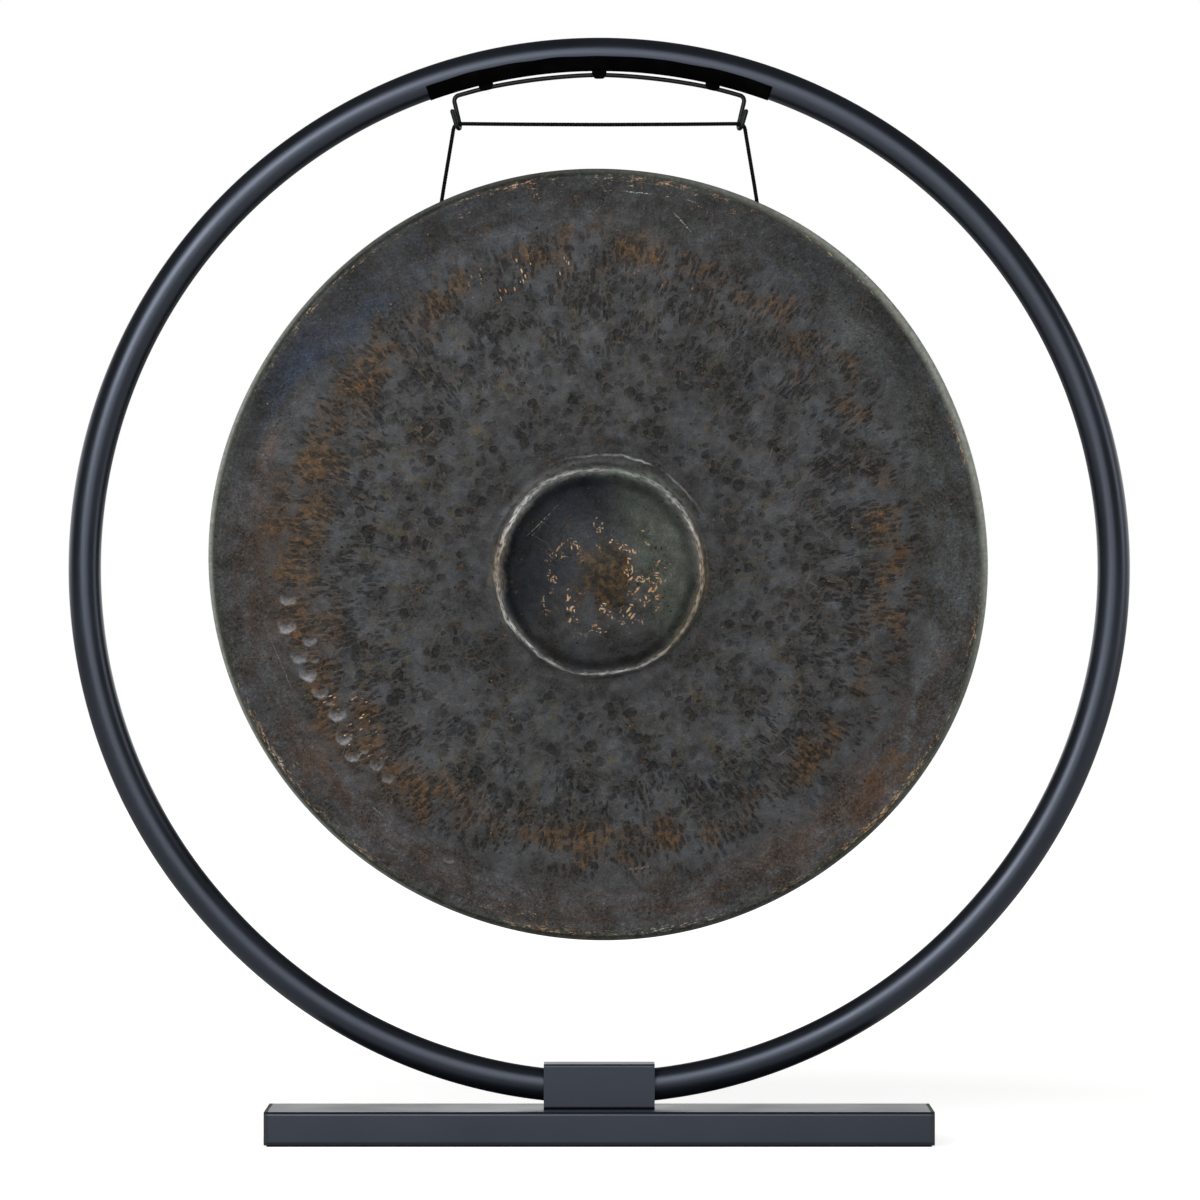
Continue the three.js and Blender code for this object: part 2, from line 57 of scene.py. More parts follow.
MATH = "ShaderNodeMath"
VECTOR = "ShaderNodeVectorMath"
RANGE = "ShaderNodeMapRange"
NOISE = "ShaderNodeTexNoise"
CELLS = "ShaderNodeTexVoronoi"
WAVE = "ShaderNodeTexWave"
MIX = "ShaderNodeMix"
MAPPING = "ShaderNodeMapping"
COORDINATES = "ShaderNodeTexCoord"
UV_MAP = "ShaderNodeUVMap"
ATTRIBUTE = "ShaderNodeAttribute"
SPLIT = "ShaderNodeSeparateXYZ"
SPLIT_COLOUR = "ShaderNodeSeparateColor"
BUMP = "ShaderNodeBump"
RAYS = "ShaderNodeLightPath"
SMOOTH = "SMOOTHSTEP"
COLOUR_A, COLOUR_B, COLOUR_OUT = 6, 7, 2


class Body(Enum):
    """The CAD bodies that a piece can ride on."""

    STAND = "stand"
    CORD = "cord"
    GONG = "gong"


class Slot(Enum):
    """The material slots."""

    POWDER_COAT = "powder_coated_steel"
    MATT_PAINT = "matt_black_paint"
    BLACK_ROD = "blackened_rod"
    ZINC = "zinc_steel"
    PLASTIC = "black_plastic"
    RUBBER = "black_rubber"
    CORD = "black_cord"
    BRONZE = "patinated_bronze"


# Numbers and meshes


def linear(hex_colour: str) -> tuple[float, float, float, float]:
    """Turns an sRGB hex colour into linear light.

    Args:
        hex_colour: six hex digits with a leading hash.

    Returns:
        Linear red, green and blue, and an alpha of 1.
    """
    values = np.array([int(hex_colour[i : i + 2], 16) for i in (1, 3, 5)]) / 255
    low = values / 12.92
    high = ((values + 0.055) / 1.055) ** 2.4
    red, green, blue = np.where(values <= 0.04045, low, high)
    return float(red), float(green), float(blue), 1.0


def step_up(values: np.ndarray, start: float, end: float) -> np.ndarray:
    """Rises smoothly from 0 at start to 1 at end: three t squared less two t cubed.

    Args:
        values: the numbers to weigh.
        start: where the rise begins.
        end: where the rise ends; it may be below start.

    Returns:
        The weights, from 0 to 1.
    """
    share = np.clip((values - start) / (end - start), 0, 1)
    return share * share * (3 - 2 * share)


def hump(values: np.ndarray, centre: float, width: float) -> np.ndarray:
    """A bell of height 1 round a centre: e to minus the squared distance over the width."""
    return np.exp(-(((values - centre) / width) ** 2))


def turn_hump(angles: np.ndarray, centre_deg: float, width_deg: float) -> np.ndarray:
    """A bell of height 1 round a direction, for angles in radians that wrap round the circle."""
    apart = np.angle(np.exp(1j * (angles - math.radians(centre_deg))))
    return np.exp(-((apart / math.radians(width_deg)) ** 2))


def waves(points: np.ndarray, length: float, seed: int, count: int = 14) -> np.ndarray:
    """Smooth unevenness: the mean of plane waves in many directions with seeded phases.

    Args:
        points: any array whose last axis holds coordinates.
        length: the typical wave length, in the same unit.
        seed: the start of the random numbers.
        count: how many waves are added.

    Returns:
        Values spread about 0 with a standard deviation near 1.
    """
    rng = np.random.default_rng(seed)
    ways = unit(rng.normal(size=(count, points.shape[-1])))
    ways *= 2 * math.pi / (length * rng.uniform(0.7, 1.6, (count, 1)))
    phases = rng.uniform(0, 2 * math.pi, count)
    return np.sin(points @ ways.T + phases).sum(-1) * math.sqrt(2 / count)


def unit(vectors: np.ndarray) -> np.ndarray:
    """The same directions, each with a length of 1 along the last axis."""
    return vectors / np.linalg.norm(vectors, axis=-1, keepdims=True)


def walked(line: np.ndarray) -> np.ndarray:
    """How far along a line each of its points lies."""
    return np.concatenate([[0], np.cumsum(np.linalg.norm(np.diff(line, axis=0), axis=1))])


def shown(name: str, mesh: Mesh) -> Object:
    """Shades a mesh smooth and links an object of it to the scene.

    Args:
        name: the object's name.
        mesh: its mesh.

    Returns:
        The new object.
    """
    mesh.polygons.foreach_set("use_smooth", np.ones(len(mesh.polygons), bool))
    obj = bpy.data.objects.new(name, mesh)
    bpy.context.scene.collection.objects.link(obj)
    return obj


@dataclass
class Surface:
    """A grid of points, rows by columns by 3, and the way its edges join.

    Row r, column c is the surface's point at the r-th step of one parameter and the c-th of the
    other. Columns turn anticlockwise seen against the way that rows go, so faces point outwards.
    """

    points: np.ndarray
    closed_rows: bool = False
    closed_columns: bool = True
    poles: bool = False
    lidded: bool = False

    def corners(self) -> tuple[np.ndarray, np.ndarray]:
        """Numbers the faces' corners.

        Returns:
            Vertex numbers of every quad, and the grid places (row, column) of its corners.
        """
        rows, columns = self.points.shape[:2]
        r = np.arange(rows if self.closed_rows else rows - 1)
        c = np.arange(columns if self.closed_columns else columns - 1)
        r, c = (a.ravel() for a in np.meshgrid(r, c, indexing="ij"))
        places = np.stack([(r, c), (r, c + 1), (r + 1, c + 1), (r + 1, c)], 1).transpose(2, 1, 0)
        return (places[..., 0] % rows) * columns + places[..., 1] % columns, places

    def build(self, name: str) -> Object:
        """Makes the mesh object, with a UV map in metres along the rows and round the columns.

        Args:
            name: the new piece's name.

        Returns:
            The object, linked to the scene.
        """
        rows, columns = self.points.shape[:2]
        numbers, places = self.corners()
        along = np.linalg.norm(np.diff(self.points, axis=0, append=self.points[:1]), axis=2)
        round_ = np.linalg.norm(np.diff(self.points, axis=1, append=self.points[:, :1]), axis=2)
        u = np.concatenate([[0], np.cumsum(along.mean(1))])
        v = np.concatenate([[0], np.cumsum(round_.mean(0))])
        uv = np.stack([u[places[..., 0]], v[places[..., 1]]], -1)
        faces = numbers.tolist()
        loops = [uv.reshape(-1, 2)]
        if self.poles:
            first, last = numbers[:, 0] < columns, numbers[:, 2] >= (rows - 1) * columns
            top = np.stack([np.zeros(columns, int), numbers[first, 2], numbers[first, 3]], 1)
            foot = np.stack([numbers[last, 0], numbers[last, 1]], 1)
            foot = np.column_stack([foot, np.full(columns, (rows - 1) * columns)])
            middle = ~(first | last)
            faces = [*numbers[middle].tolist(), *top.tolist(), *foot.tolist()]
            loops = [uv[middle].reshape(-1, 2), uv[first][:, [0, 2, 3]].reshape(-1, 2)]
            loops.append(uv[last][:, [0, 1, 3]].reshape(-1, 2))
        if self.lidded:
            half = columns // 2
            near = np.arange(half - 1)
            lid = np.stack([near, columns - 1 - near, columns - 2 - near, near + 1], 1)
            faces += lid.tolist()
            faces += (lid[:, ::-1] + (rows - 1) * columns).tolist()
            loops += [np.zeros((8 * len(lid), 2))]
        mesh = bpy.data.meshes.new(name)
        mesh.from_pydata(self.points.reshape(-1, 3).tolist(), [], faces)
        layer = mesh.uv_layers.new(name="UVMap")
        layer.data.foreach_set("uv", np.concatenate(loops).astype(np.float32).ravel())
        return shown(name, mesh)


def carried(path: np.ndarray, across: np.ndarray | tuple[float, float, float],
            section: np.ndarray) -> np.ndarray:
    """Carries a section along a path: each section point is the path's point, plus its first number
    times the across direction, plus its second times the direction square to path and across.

    Args:
        path: N by 3 points.
        across: N by 3 directions, or one for the whole path, made square to the path here.
        section: M by 2 points of the section, or N by M by 2 where it changes along the path.

    Returns:
        N by M by 3 points.
    """
    along = unit(np.gradient(path, axis=0))
    side = unit(across - (across * along).sum(1, keepdims=True) * along)
    up = np.cross(along, side)
    section = np.broadcast_to(section, (len(path), *section.shape[-2:]))
    return path[:, None] + section[..., :1] * side[:, None] + section[..., 1:] * up[:, None]


def ring(radius: float, steps: int) -> np.ndarray:
    """Points of a circle, anticlockwise, as cosine and sine of even angles."""
    angle = 2 * math.pi * np.arange(steps) / steps
    return radius * np.stack([np.cos(angle), np.sin(angle)], 1)


def smooth_line(points: np.ndarray, steps: int) -> np.ndarray:
    """A Catmull-Rom curve through points: between two points, the cubic whose slopes at them are
    half the chord of their neighbours.

    Args:
        points: N by 3 points.
        steps: how many steps each span is cut into.

    Returns:
        The curve's points.
    """
    padded = np.vstack([2 * points[0] - points[1], points, 2 * points[-1] - points[-2]])
    p0, p1, p2, p3 = (padded[i : len(padded) - 3 + i, None] for i in range(4))
    t = (np.arange(steps) / steps)[None, :, None]
    curve = 0.5 * (
        2 * p1
        + (p2 - p0) * t
        + (2 * p0 - 5 * p1 + 4 * p2 - p3) * t**2
        + (3 * p1 - p0 - 3 * p2 + p3) * t**3
    )
    return np.vstack([curve.reshape(-1, 3), points[-1:]])


def even_line(points: np.ndarray, spacing: float) -> np.ndarray:
    """The same line with its points an even distance apart along it.

    Args:
        points: N by 3 points.
        spacing: the distance, which is rounded to fit.

    Returns:
        The new points.
    """
    far = walked(points)
    places = np.linspace(0, far[-1], max(2, round(far[-1] / spacing)) + 1)
    return np.stack([np.interp(places, far, points[:, k]) for k in range(3)], 1)


def set_values(obj: Object, name: str, values: np.ndarray) -> None:
    """Stores one number, or one vector, for each vertex under an attribute's name.

    Args:
        obj: the piece.
        name: the attribute's name.
        values: one row for each vertex.
    """
    kind, key = ("FLOAT", "value") if values.ndim == 1 else ("FLOAT_VECTOR", "vector")
    layer = obj.data.attributes.new(name, kind, "POINT")
    layer.data.foreach_set(key, values.astype(np.float32).ravel())


def settle(obj: Object, body: Body, slot: Slot, *nodes: str) -> Object:
    """Lets a piece ride on its body and lets it stand for its CAD nodes.

    Args:
        obj: the piece.
        body: the body it rides on.
        slot: its material slot; not used.
        *nodes: the CAD nodes that it replaces.

    Returns:
        The same piece.
    """
    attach(obj, body.value)
    if nodes:
        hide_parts(*nodes)
    log.info("%s: %d faces", obj.name, len(obj.data.polygons))
    return obj


def dress(obj: Object, material: Material) -> None:
    """Gives an object one material in place of what it has."""
    obj.data.materials.clear()
    obj.data.materials.append(material)


def merged_copy(node: str, name: str, bevel: float) -> Object:
    """Copies a CAD node, joins its loose triangles into flat faces and rounds its sharp edges.

    Args:
        node: the CAD node's name.
        name: the new piece's name.
        bevel: the width of the rounded edges, in metres.

    Returns:
        The new object.
    """
    mesh = bpy.data.meshes.new(name)
    work = bmesh.new()
    work.from_mesh(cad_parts[node].data)
    bmesh.ops.remove_doubles(work, verts=work.verts, dist=2e-6)
    bmesh.ops.dissolve_limit(
        work, angle_limit=math.radians(0.5), verts=work.verts, edges=work.edges
    )
    work.to_mesh(mesh)
    work.free()
    obj = shown(name, mesh)
    rounding = obj.modifiers.new("rounded edges", "BEVEL")
    rounding.width = bevel
    rounding.segments = 2
    rounding.limit_method = "ANGLE"
    rounding.angle_limit = math.radians(40)
    weighing = obj.modifiers.new("even normals", "WEIGHTED_NORMAL")
    weighing.keep_sharp = False
    return obj


# Finishes


@dataclass(frozen=True)
class Patterns:
    """A node tree, and the patterns that can be laid over each other on it."""

    tree: NodeTree

    def feed(self, node: Node, inputs: dict[int | str, object]) -> None:
        """Sets a node's inputs, or links them to the outputs given for them.

        Args:
            node: the node.
            inputs: for each input's name or number, a value or an output.
        """
        for key, value in inputs.items():
            if isinstance(value, Socket):
                self.tree.links.new(value, node.inputs[key])
            else:
                node.inputs[key].default_value = value

    def put(self, kind: str, inputs: dict[int | str, object] | None = None, out: int | str = 0,
            **settings: object) -> Socket:
        """Adds a node with its settings and links.

        Args:
            kind: the node's type name.
            inputs: for each input's name or number, a value or the output that feeds it.
            out: which output to give back.
            **settings: the node's own properties.

        Returns:
            The chosen output socket.
        """
        node = self.tree.nodes.new(kind)
        for key, value in settings.items():
            setattr(node, key, value)
        self.feed(node, inputs or {})
        return node.outputs[out]

    def blend(self, share: Socket, under: Socket | str, over: Socket | str) -> Socket:
        """Lays one colour over another by a share; a hex colour may stand for an output.

        Args:
            share: how much of the upper one shows.
            under: the lower colour.
            over: the upper colour.

        Returns:
            The mixed colour.
        """
        under, over = (linear(c) if isinstance(c, str) else c for c in (under, over))
        return self.put(MIX, {0: share, COLOUR_A: under, COLOUR_B: over}, COLOUR_OUT,
                        data_type="RGBA")

    def times(self, *factors: Socket | float) -> Socket:
        """Multiplies outputs and numbers together.

        Args:
            *factors: what is multiplied.

        Returns:
            The product.
        """
        product = factors[0]
        for factor in factors[1:]:
            product = self.put(MATH, {0: product, 1: factor}, operation="MULTIPLY")
        return product

    def most(self, *values: Socket) -> Socket:
        """Takes the largest of several outputs at each place.

        Args:
            *values: the outputs.

        Returns:
            The largest of them.
        """
        largest = values[0]
        for value in values[1:]:
            largest = self.put(MATH, {0: largest, 1: value}, operation="MAXIMUM")
        return largest

    def band(self, value: Socket, rise: tuple[float, float], fall: tuple[float, float]) -> Socket:
        """Rises from 0 to 1 over the first pair of values and falls back over the second."""
        return self.times(self.put(RANGE, {0: value, 1: rise[0], 2: rise[1]}),
                          self.put(RANGE, {0: value, 1: fall[1], 2: fall[0]}))

    def apart(self, value: Socket, centre: float) -> Socket:
        """How far a value is from a centre."""
        off = self.put(MATH, {0: value, 1: centre}, operation="SUBTRACT")
        return self.put(MATH, {0: off}, operation="ABSOLUTE")

    def noise(self, place: Socket, size: float, low: float, high: float,
              detail: float = 4.0) -> Socket:
        """Cloudy unevenness of one size in millimetres, spread between a low and a high value.

        Args:
            place: where it is read, in millimetres.
            size: how large the clouds are.
            low: the value in the troughs.
            high: the value on the peaks.
            detail: how many finer sizes are added.

        Returns:
            The clouds.
        """
        cloud = self.put(NOISE, {"Vector": place, "Scale": 1 / size, "Detail": detail,
                                 "Roughness": 0.64, "Distortion": 0.25})
        return self.put(RANGE, {0: cloud, 1: 0.32, 2: 0.68, 3: low, 4: high})

    def stretched(self, place: Socket, scale: tuple[float, float, float], detail: float,
                  rough: float = 0.5) -> Socket:
        """Noise drawn out along an axis, with a scale for each one.

        Args:
            place: where it is read.
            scale: its scale along each axis.
            detail: how many finer sizes are added.
            rough: how strong the finer ones are.

        Returns:
            The noise.
        """
        drawn = self.put(MAPPING, {"Vector": place, "Scale": scale})
        return self.put(NOISE, {"Vector": drawn, "Scale": 1.0, "Detail": detail,
                                "Roughness": rough})

    def spots(self, place: Socket, pitch: float, sizes: tuple[float, float], kept: float,
              soft: float = 0.7) -> tuple[Socket, Socket]:
        """Scattered round spots: cells of one pitch, with a disc of a random size in some of them.

        Args:
            place: the place on the face, in millimetres.
            pitch: the cells' mean spacing, in millimetres.
            sizes: the smallest and the largest radius, in millimetres.
            kept: the share of cells that have a disc.
            soft: where the soft edge starts, as a share of the radius.

        Returns:
            The discs' mask, and how far out in its disc a place lies, with 1 at the edge.
        """
        cells = self.put(CELLS, {"Vector": place, "Scale": 1 / pitch},
                         voronoi_dimensions="2D").node
        random = self.put(SPLIT_COLOUR, {0: cells.outputs["Color"]}).node
        size = self.put(RANGE, {0: random.outputs[0], 3: sizes[0] / pitch, 4: sizes[1] / pitch})
        out = self.put(MATH, {0: cells.outputs["Distance"], 1: size}, operation="DIVIDE")
        disc = self.put(RANGE, {0: out, 1: 1.0, 2: soft}, interpolation_type=SMOOTH)
        chosen = self.put(MATH, {0: random.outputs[1], 1: kept}, operation="LESS_THAN")
        force = self.put(RANGE, {0: random.outputs[2], 3: 0.5, 4: 1.15})
        return self.times(disc, chosen, force), out

    def strokes(self, place: Socket, scale: tuple[float, float, float], kept: float,
                reach: float = 0.42, turn: float = 0.0) -> Socket:
        """Scattered long marks: cells squeezed one way, with a soft core in some of them.

        Args:
            place: where the pattern is read.
            scale: cells per unit along each axis.
            kept: the share of cells that have a mark.
            reach: how far from its middle a mark fades out, in cells.
            turn: how far the place is turned first, in radians.

        Returns:
            The marks' mask.
        """
        if turn:
            place = self.put(MAPPING, {"Vector": place, "Rotation": (0, 0, turn)})
        squeezed = self.put(MAPPING, {"Vector": place, "Scale": scale})
        cells = self.put(CELLS, {"Vector": squeezed, "Scale": 1.0}).node
        random = self.put(SPLIT_COLOUR, {0: cells.outputs["Color"]}).node
        core = self.put(RANGE, {0: cells.outputs["Distance"], 1: reach, 2: 0.2},
                        interpolation_type=SMOOTH)
        chosen = self.put(MATH, {0: random.outputs[1], 1: kept}, operation="LESS_THAN")
        return self.times(core, chosen)


@dataclass(frozen=True)
class Finish:
    """A finish: its name, the even values of its Principled shader, and its two close tones."""

    name: str = "finish"
    roughness: float = 0.5
    metallic: float = 0.0
    specular: float = 0.5
    tones: tuple[str, str] = ("#808080", "#808080")

    def material(self) -> Material:
        """Makes the material, with this finish's own pattern.

        Returns:
            The new material.
        """
        material = bpy.data.materials.new(self.name)
        material.use_nodes = True
        on, shader = Patterns(material.node_tree), material.node_tree.nodes["Principled BSDF"]
        on.feed(shader, {"Roughness": self.roughness, "Metallic": self.metallic,
                         "Specular IOR Level": self.specular})
        self.paint(on, shader)
        return material

    def paint(self, on: Patterns, shader: Node) -> None:
        """Adds the pattern to the shader; each finish has its own."""
        raise NotImplementedError

    def skin(self, on: Patterns, shader: Node, share: Socket, height: Socket,
             depth_mm: float) -> None:
        """Mixes the two tones by a share, and presses a pattern into the surface as a bump.

        Args:
            on: the material's nodes.
            shader: its Principled shader.
            share: how much of the second tone each place has.
            height: the bump's pattern, from 0 to 1.
            depth_mm: the bump's depth, in millimetres.
        """
        on.feed(shader, {"Base Color": on.blend(share, *self.tones),
                         "Normal": on.put(BUMP, {"Height": height, "Distance": depth_mm * MM})})


@dataclass(frozen=True)
class PowderCoatedSteel(Finish):
    """Fine textured polyester powder coat, sprayed dry and baked on steel tube.

    It gives the eye a satin, blue-black skin with an even orange peel about 1 mm across, a soft
    wide highlight, and a faint film of dust.
    """

    name: str = "powder coated steel"
    roughness: float = 0.32
    specular: float = 0.88
    tones: tuple[str, str] = ("#0e1115", "#14171c")
    tint: str = "#dbe6ff"
    clouds_per_m: float = 14.0
    peel_mm: float = 1.1
    peel_depth_mm: float = 0.012

    def paint(self, on: Patterns, shader: Node) -> None:
        """Colour varies a little in soft clouds; the peel is a bump from fine noise.

        Args:
            on: the material's nodes.
            shader: its Principled shader.
        """
        place = on.put(COORDINATES, out="Object")
        cloud = on.put(NOISE, {"Vector": place, "Scale": self.clouds_per_m, "Detail": 3.0})
        peel = on.put(NOISE, {"Vector": place, "Scale": 1 / (self.peel_mm * MM), "Detail": 1.0})
        self.skin(on, shader, on.put(RANGE, {0: cloud, 1: 0.35, 2: 0.7}), peel,
                  self.peel_depth_mm)
        rough = on.put(RANGE, {0: cloud, 1: 0.3, 2: 0.75, 3: self.roughness - 0.03,
                               4: self.roughness + 0.05})
        on.feed(shader, {"Roughness": rough, "Specular Tint": linear(self.tint)})


@dataclass(frozen=True)
class MattBlackPaint(Finish):
    """Flat black paint on thin sheet and cast lugs.

    It gives the eye an almost lightless black with a dry, slightly gritty face.
    """

    name: str = "matt black paint"
    roughness: float = 0.95
    specular: float = 0.03
    tones: tuple[str, str] = ("#020202", "#080809")
    patches_per_m: float = 60.0
    grit_per_m: float = 1400.0
    grit_depth_mm: float = 0.02

    def paint(self, on: Patterns, shader: Node) -> None:
        """Colour lifts a little in patches; grit is a bump from fine noise.

        Args:
            on: the material's nodes.
            shader: its Principled shader.
        """
        place = on.put(COORDINATES, out="Object")
        patch = on.put(NOISE, {"Vector": place, "Scale": self.patches_per_m, "Detail": 4.0})
        grit = on.put(NOISE, {"Vector": place, "Scale": self.grit_per_m, "Detail": 2.0})
        self.skin(on, shader, on.put(RANGE, {0: patch, 1: 0.45, 2: 0.75}), grit,
                  self.grit_depth_mm)


@dataclass(frozen=True)
class BlackenedRod(Finish):
    """Drawn steel rod with a blue-black oxide, oiled.

    It gives the eye a narrow bluish highlight along the rod, with fine drawing lines in it.
    """

    name: str = "blackened steel rod"
    roughness: float = 0.38
    metallic: float = 0.55
    tones: tuple[str, str] = ("#07090c", "#141a20")
    lines_per_m: tuple[float, float, float] = (60.0, 2400.0, 1.0)
    line_depth_mm: float = 0.01

    def paint(self, on: Patterns, shader: Node) -> None:
        """Long thin streaks along the rod, on its own UV map, rubbed paler here and there.

        Args:
            on: the material's nodes.
            shader: its Principled shader.
        """
        lines = on.stretched(on.put(UV_MAP), self.lines_per_m, 3.0)
        self.skin(on, shader, on.put(RANGE, {0: lines, 1: 0.4, 2: 0.8}), lines,
                  self.line_depth_mm)


@dataclass(frozen=True)
class ZincPlatedSteel(Finish):
    """Bright zinc plate on bolts, washers and the plug in the hoop.

    It gives the eye a pale bluish metal with a fine crystalline cloud.
    """

    name: str = "zinc plated steel"
    roughness: float = 0.33
    metallic: float = 1.0
    tones: tuple[str, str] = ("#9b9fa1", "#7f8486")
    crystals_per_m: float = 900.0
    crystal_depth_mm: float = 0.008

    def paint(self, on: Patterns, shader: Node) -> None:
        """Crystals are cells about 1.1 mm across, of two close tones.

        Args:
            on: the material's nodes.
            shader: its Principled shader.
        """
        place = on.put(COORDINATES, out="Object")
        crystals = on.put(CELLS, {"Vector": place, "Scale": self.crystals_per_m}, out="Distance")
        self.skin(on, shader, on.put(RANGE, {0: crystals, 1: 0.1, 2: 0.7}), crystals,
                  self.crystal_depth_mm)


@dataclass(frozen=True)
class MouldedPlastic(Finish):
    """Injection moulded polyethylene end caps.

    They give the eye a dull black with a fine spark-eroded grain.
    """

    name: str = "moulded polyethylene"
    roughness: float = 0.55
    tones: tuple[str, str] = ("#1a1b1d", "#242528")
    flow_per_m: float = 45.0
    grains_per_m: float = 1600.0
    grain_depth_mm: float = 0.02

    def paint(self, on: Patterns, shader: Node) -> None:
        """The grain is a bump from cells about 0.6 mm across.

        Args:
            on: the material's nodes.
            shader: its Principled shader.
        """
        place = on.put(COORDINATES, out="Object")
        flow = on.put(NOISE, {"Vector": place, "Scale": self.flow_per_m, "Detail": 2.0})
        grain = on.put(CELLS, {"Vector": place, "Scale": self.grains_per_m}, out="Distance")
        self.skin(on, shader, on.put(RANGE, {0: flow, 1: 0.35, 2: 0.7}), grain,
                  self.grain_depth_mm)


@dataclass(frozen=True)
class SheetRubber(Finish):
    """Calendered nitrile rubber sheet under the foot.

    It gives the eye a flat, slightly brown black with a cloth-like press mark.
    """

    name: str = "sheet rubber"
    roughness: float = 0.85
    specular: float = 0.3
    tones: tuple[str, str] = ("#151515", "#222120")
    bloom_per_m: float = 30.0
    ridge_scale: float = 390.0
    ridge_depth_mm: float = 0.03

    def paint(self, on: Patterns, shader: Node) -> None:
        """Press marks are two crossed sets of fine ridges, 0.8 mm apart.

        A wave texture repeats every two pi over 20 times its scale.

        Args:
            on: the material's nodes.
            shader: its Principled shader.
        """
        place = on.put(COORDINATES, out="Object")
        bloom = on.put(NOISE, {"Vector": place, "Scale": self.bloom_per_m, "Detail": 4.0})
        press = on.times(*(on.put(WAVE, {"Vector": place, "Scale": self.ridge_scale}, out="Fac",
                                  bands_direction=axis) for axis in "XY"))
        self.skin(on, shader, on.put(RANGE, {0: bloom, 1: 0.4, 2: 0.75}), press,
                  self.ridge_depth_mm)


@dataclass(frozen=True)
class BraidedCord(Finish):
    """Round braided polyamide cord, dyed black.

    It gives the eye a dull black with a regular plait: strands cross at about 35 degrees and each
    shows for 1.4 mm along the cord.
    """

    name: str = "braided polyamide cord"
    roughness: float = 0.8
    specular: float = 0.1
    tones: tuple[str, str] = ("#020203", "#0c0c0e")
    strand_mm: float = 1.4
    strand_deg: float = 35.0
    strand_depth_mm: float = 0.12

    def paint(self, on: Patterns, shader: Node) -> None:
        """The plait is the taller of two sets of waves that lean left and right on the UV map.

        Args:
            on: the material's nodes.
            shader: its Principled shader.
        """
        place = on.put(UV_MAP)
        scale = 1 / (self.strand_mm * MM)
        leaning = []
        for degrees in (self.strand_deg, -self.strand_deg):
            strands = on.put(MAPPING, {"Vector": place, "Scale": (scale, scale, 1),
                                       "Rotation": (0, 0, math.radians(degrees))})
            leaning.append(on.put(WAVE, {"Vector": strands, "Scale": 0.32}, out="Fac",
                                  bands_direction="Y"))
        plait = on.most(*leaning)
        self.skin(on, shader, plait, plait, self.strand_depth_mm)


@dataclass(frozen=True)
class FacePatterns(Patterns):
    """Patterns on the gong's face, with what the layers of its patina share.

    Attributes:
        place: the place on the face, in millimetres.
        polar: the cosine and sine of the direction, and the share of the radius.
        share: the share of the radius alone.
        zone: the mesh's own zones, by name.
        ruffle: a slow random shift about zero.
        ruffled: the place with some of that shift.
        swung: the direction and share with some of it.
        annulus: 1 in the outer ring, outside the hammered part of the face.
        streak: radial streaks in that ring, from -1 to 1.
        gather: where marks lie close, from 0 to 1.
        drift: broad clouds of hue.
        mottle, grain: light and dark about 8 and 2 mm across.
    """

    place: Socket
    polar: Socket
    share: Socket
    zone: dict[str, Socket]
    ruffle: Socket
    ruffled: Socket
    swung: Socket
    annulus: Socket
    streak: Socket
    gather: Socket
    drift: Socket
    mottle: Socket
    grain: Socket


@dataclass(frozen=True)
class Marks:
    """The hammer's marks and the skin between them, each from 0 to 1.

    Attributes:
        rounds: round marks.
        lines: radial strokes.
        dark: how dark both make the skin.
        sheaf: the cloud that gathers strokes in packets.
        crackle: fine black crackle.
        crackled: the tone that it leaves.
        pits: small pits.
    """

    rounds: Socket
    lines: Socket
    dark: Socket
    sheaf: Socket
    crackle: Socket
    crackled: Socket
    pits: Socket


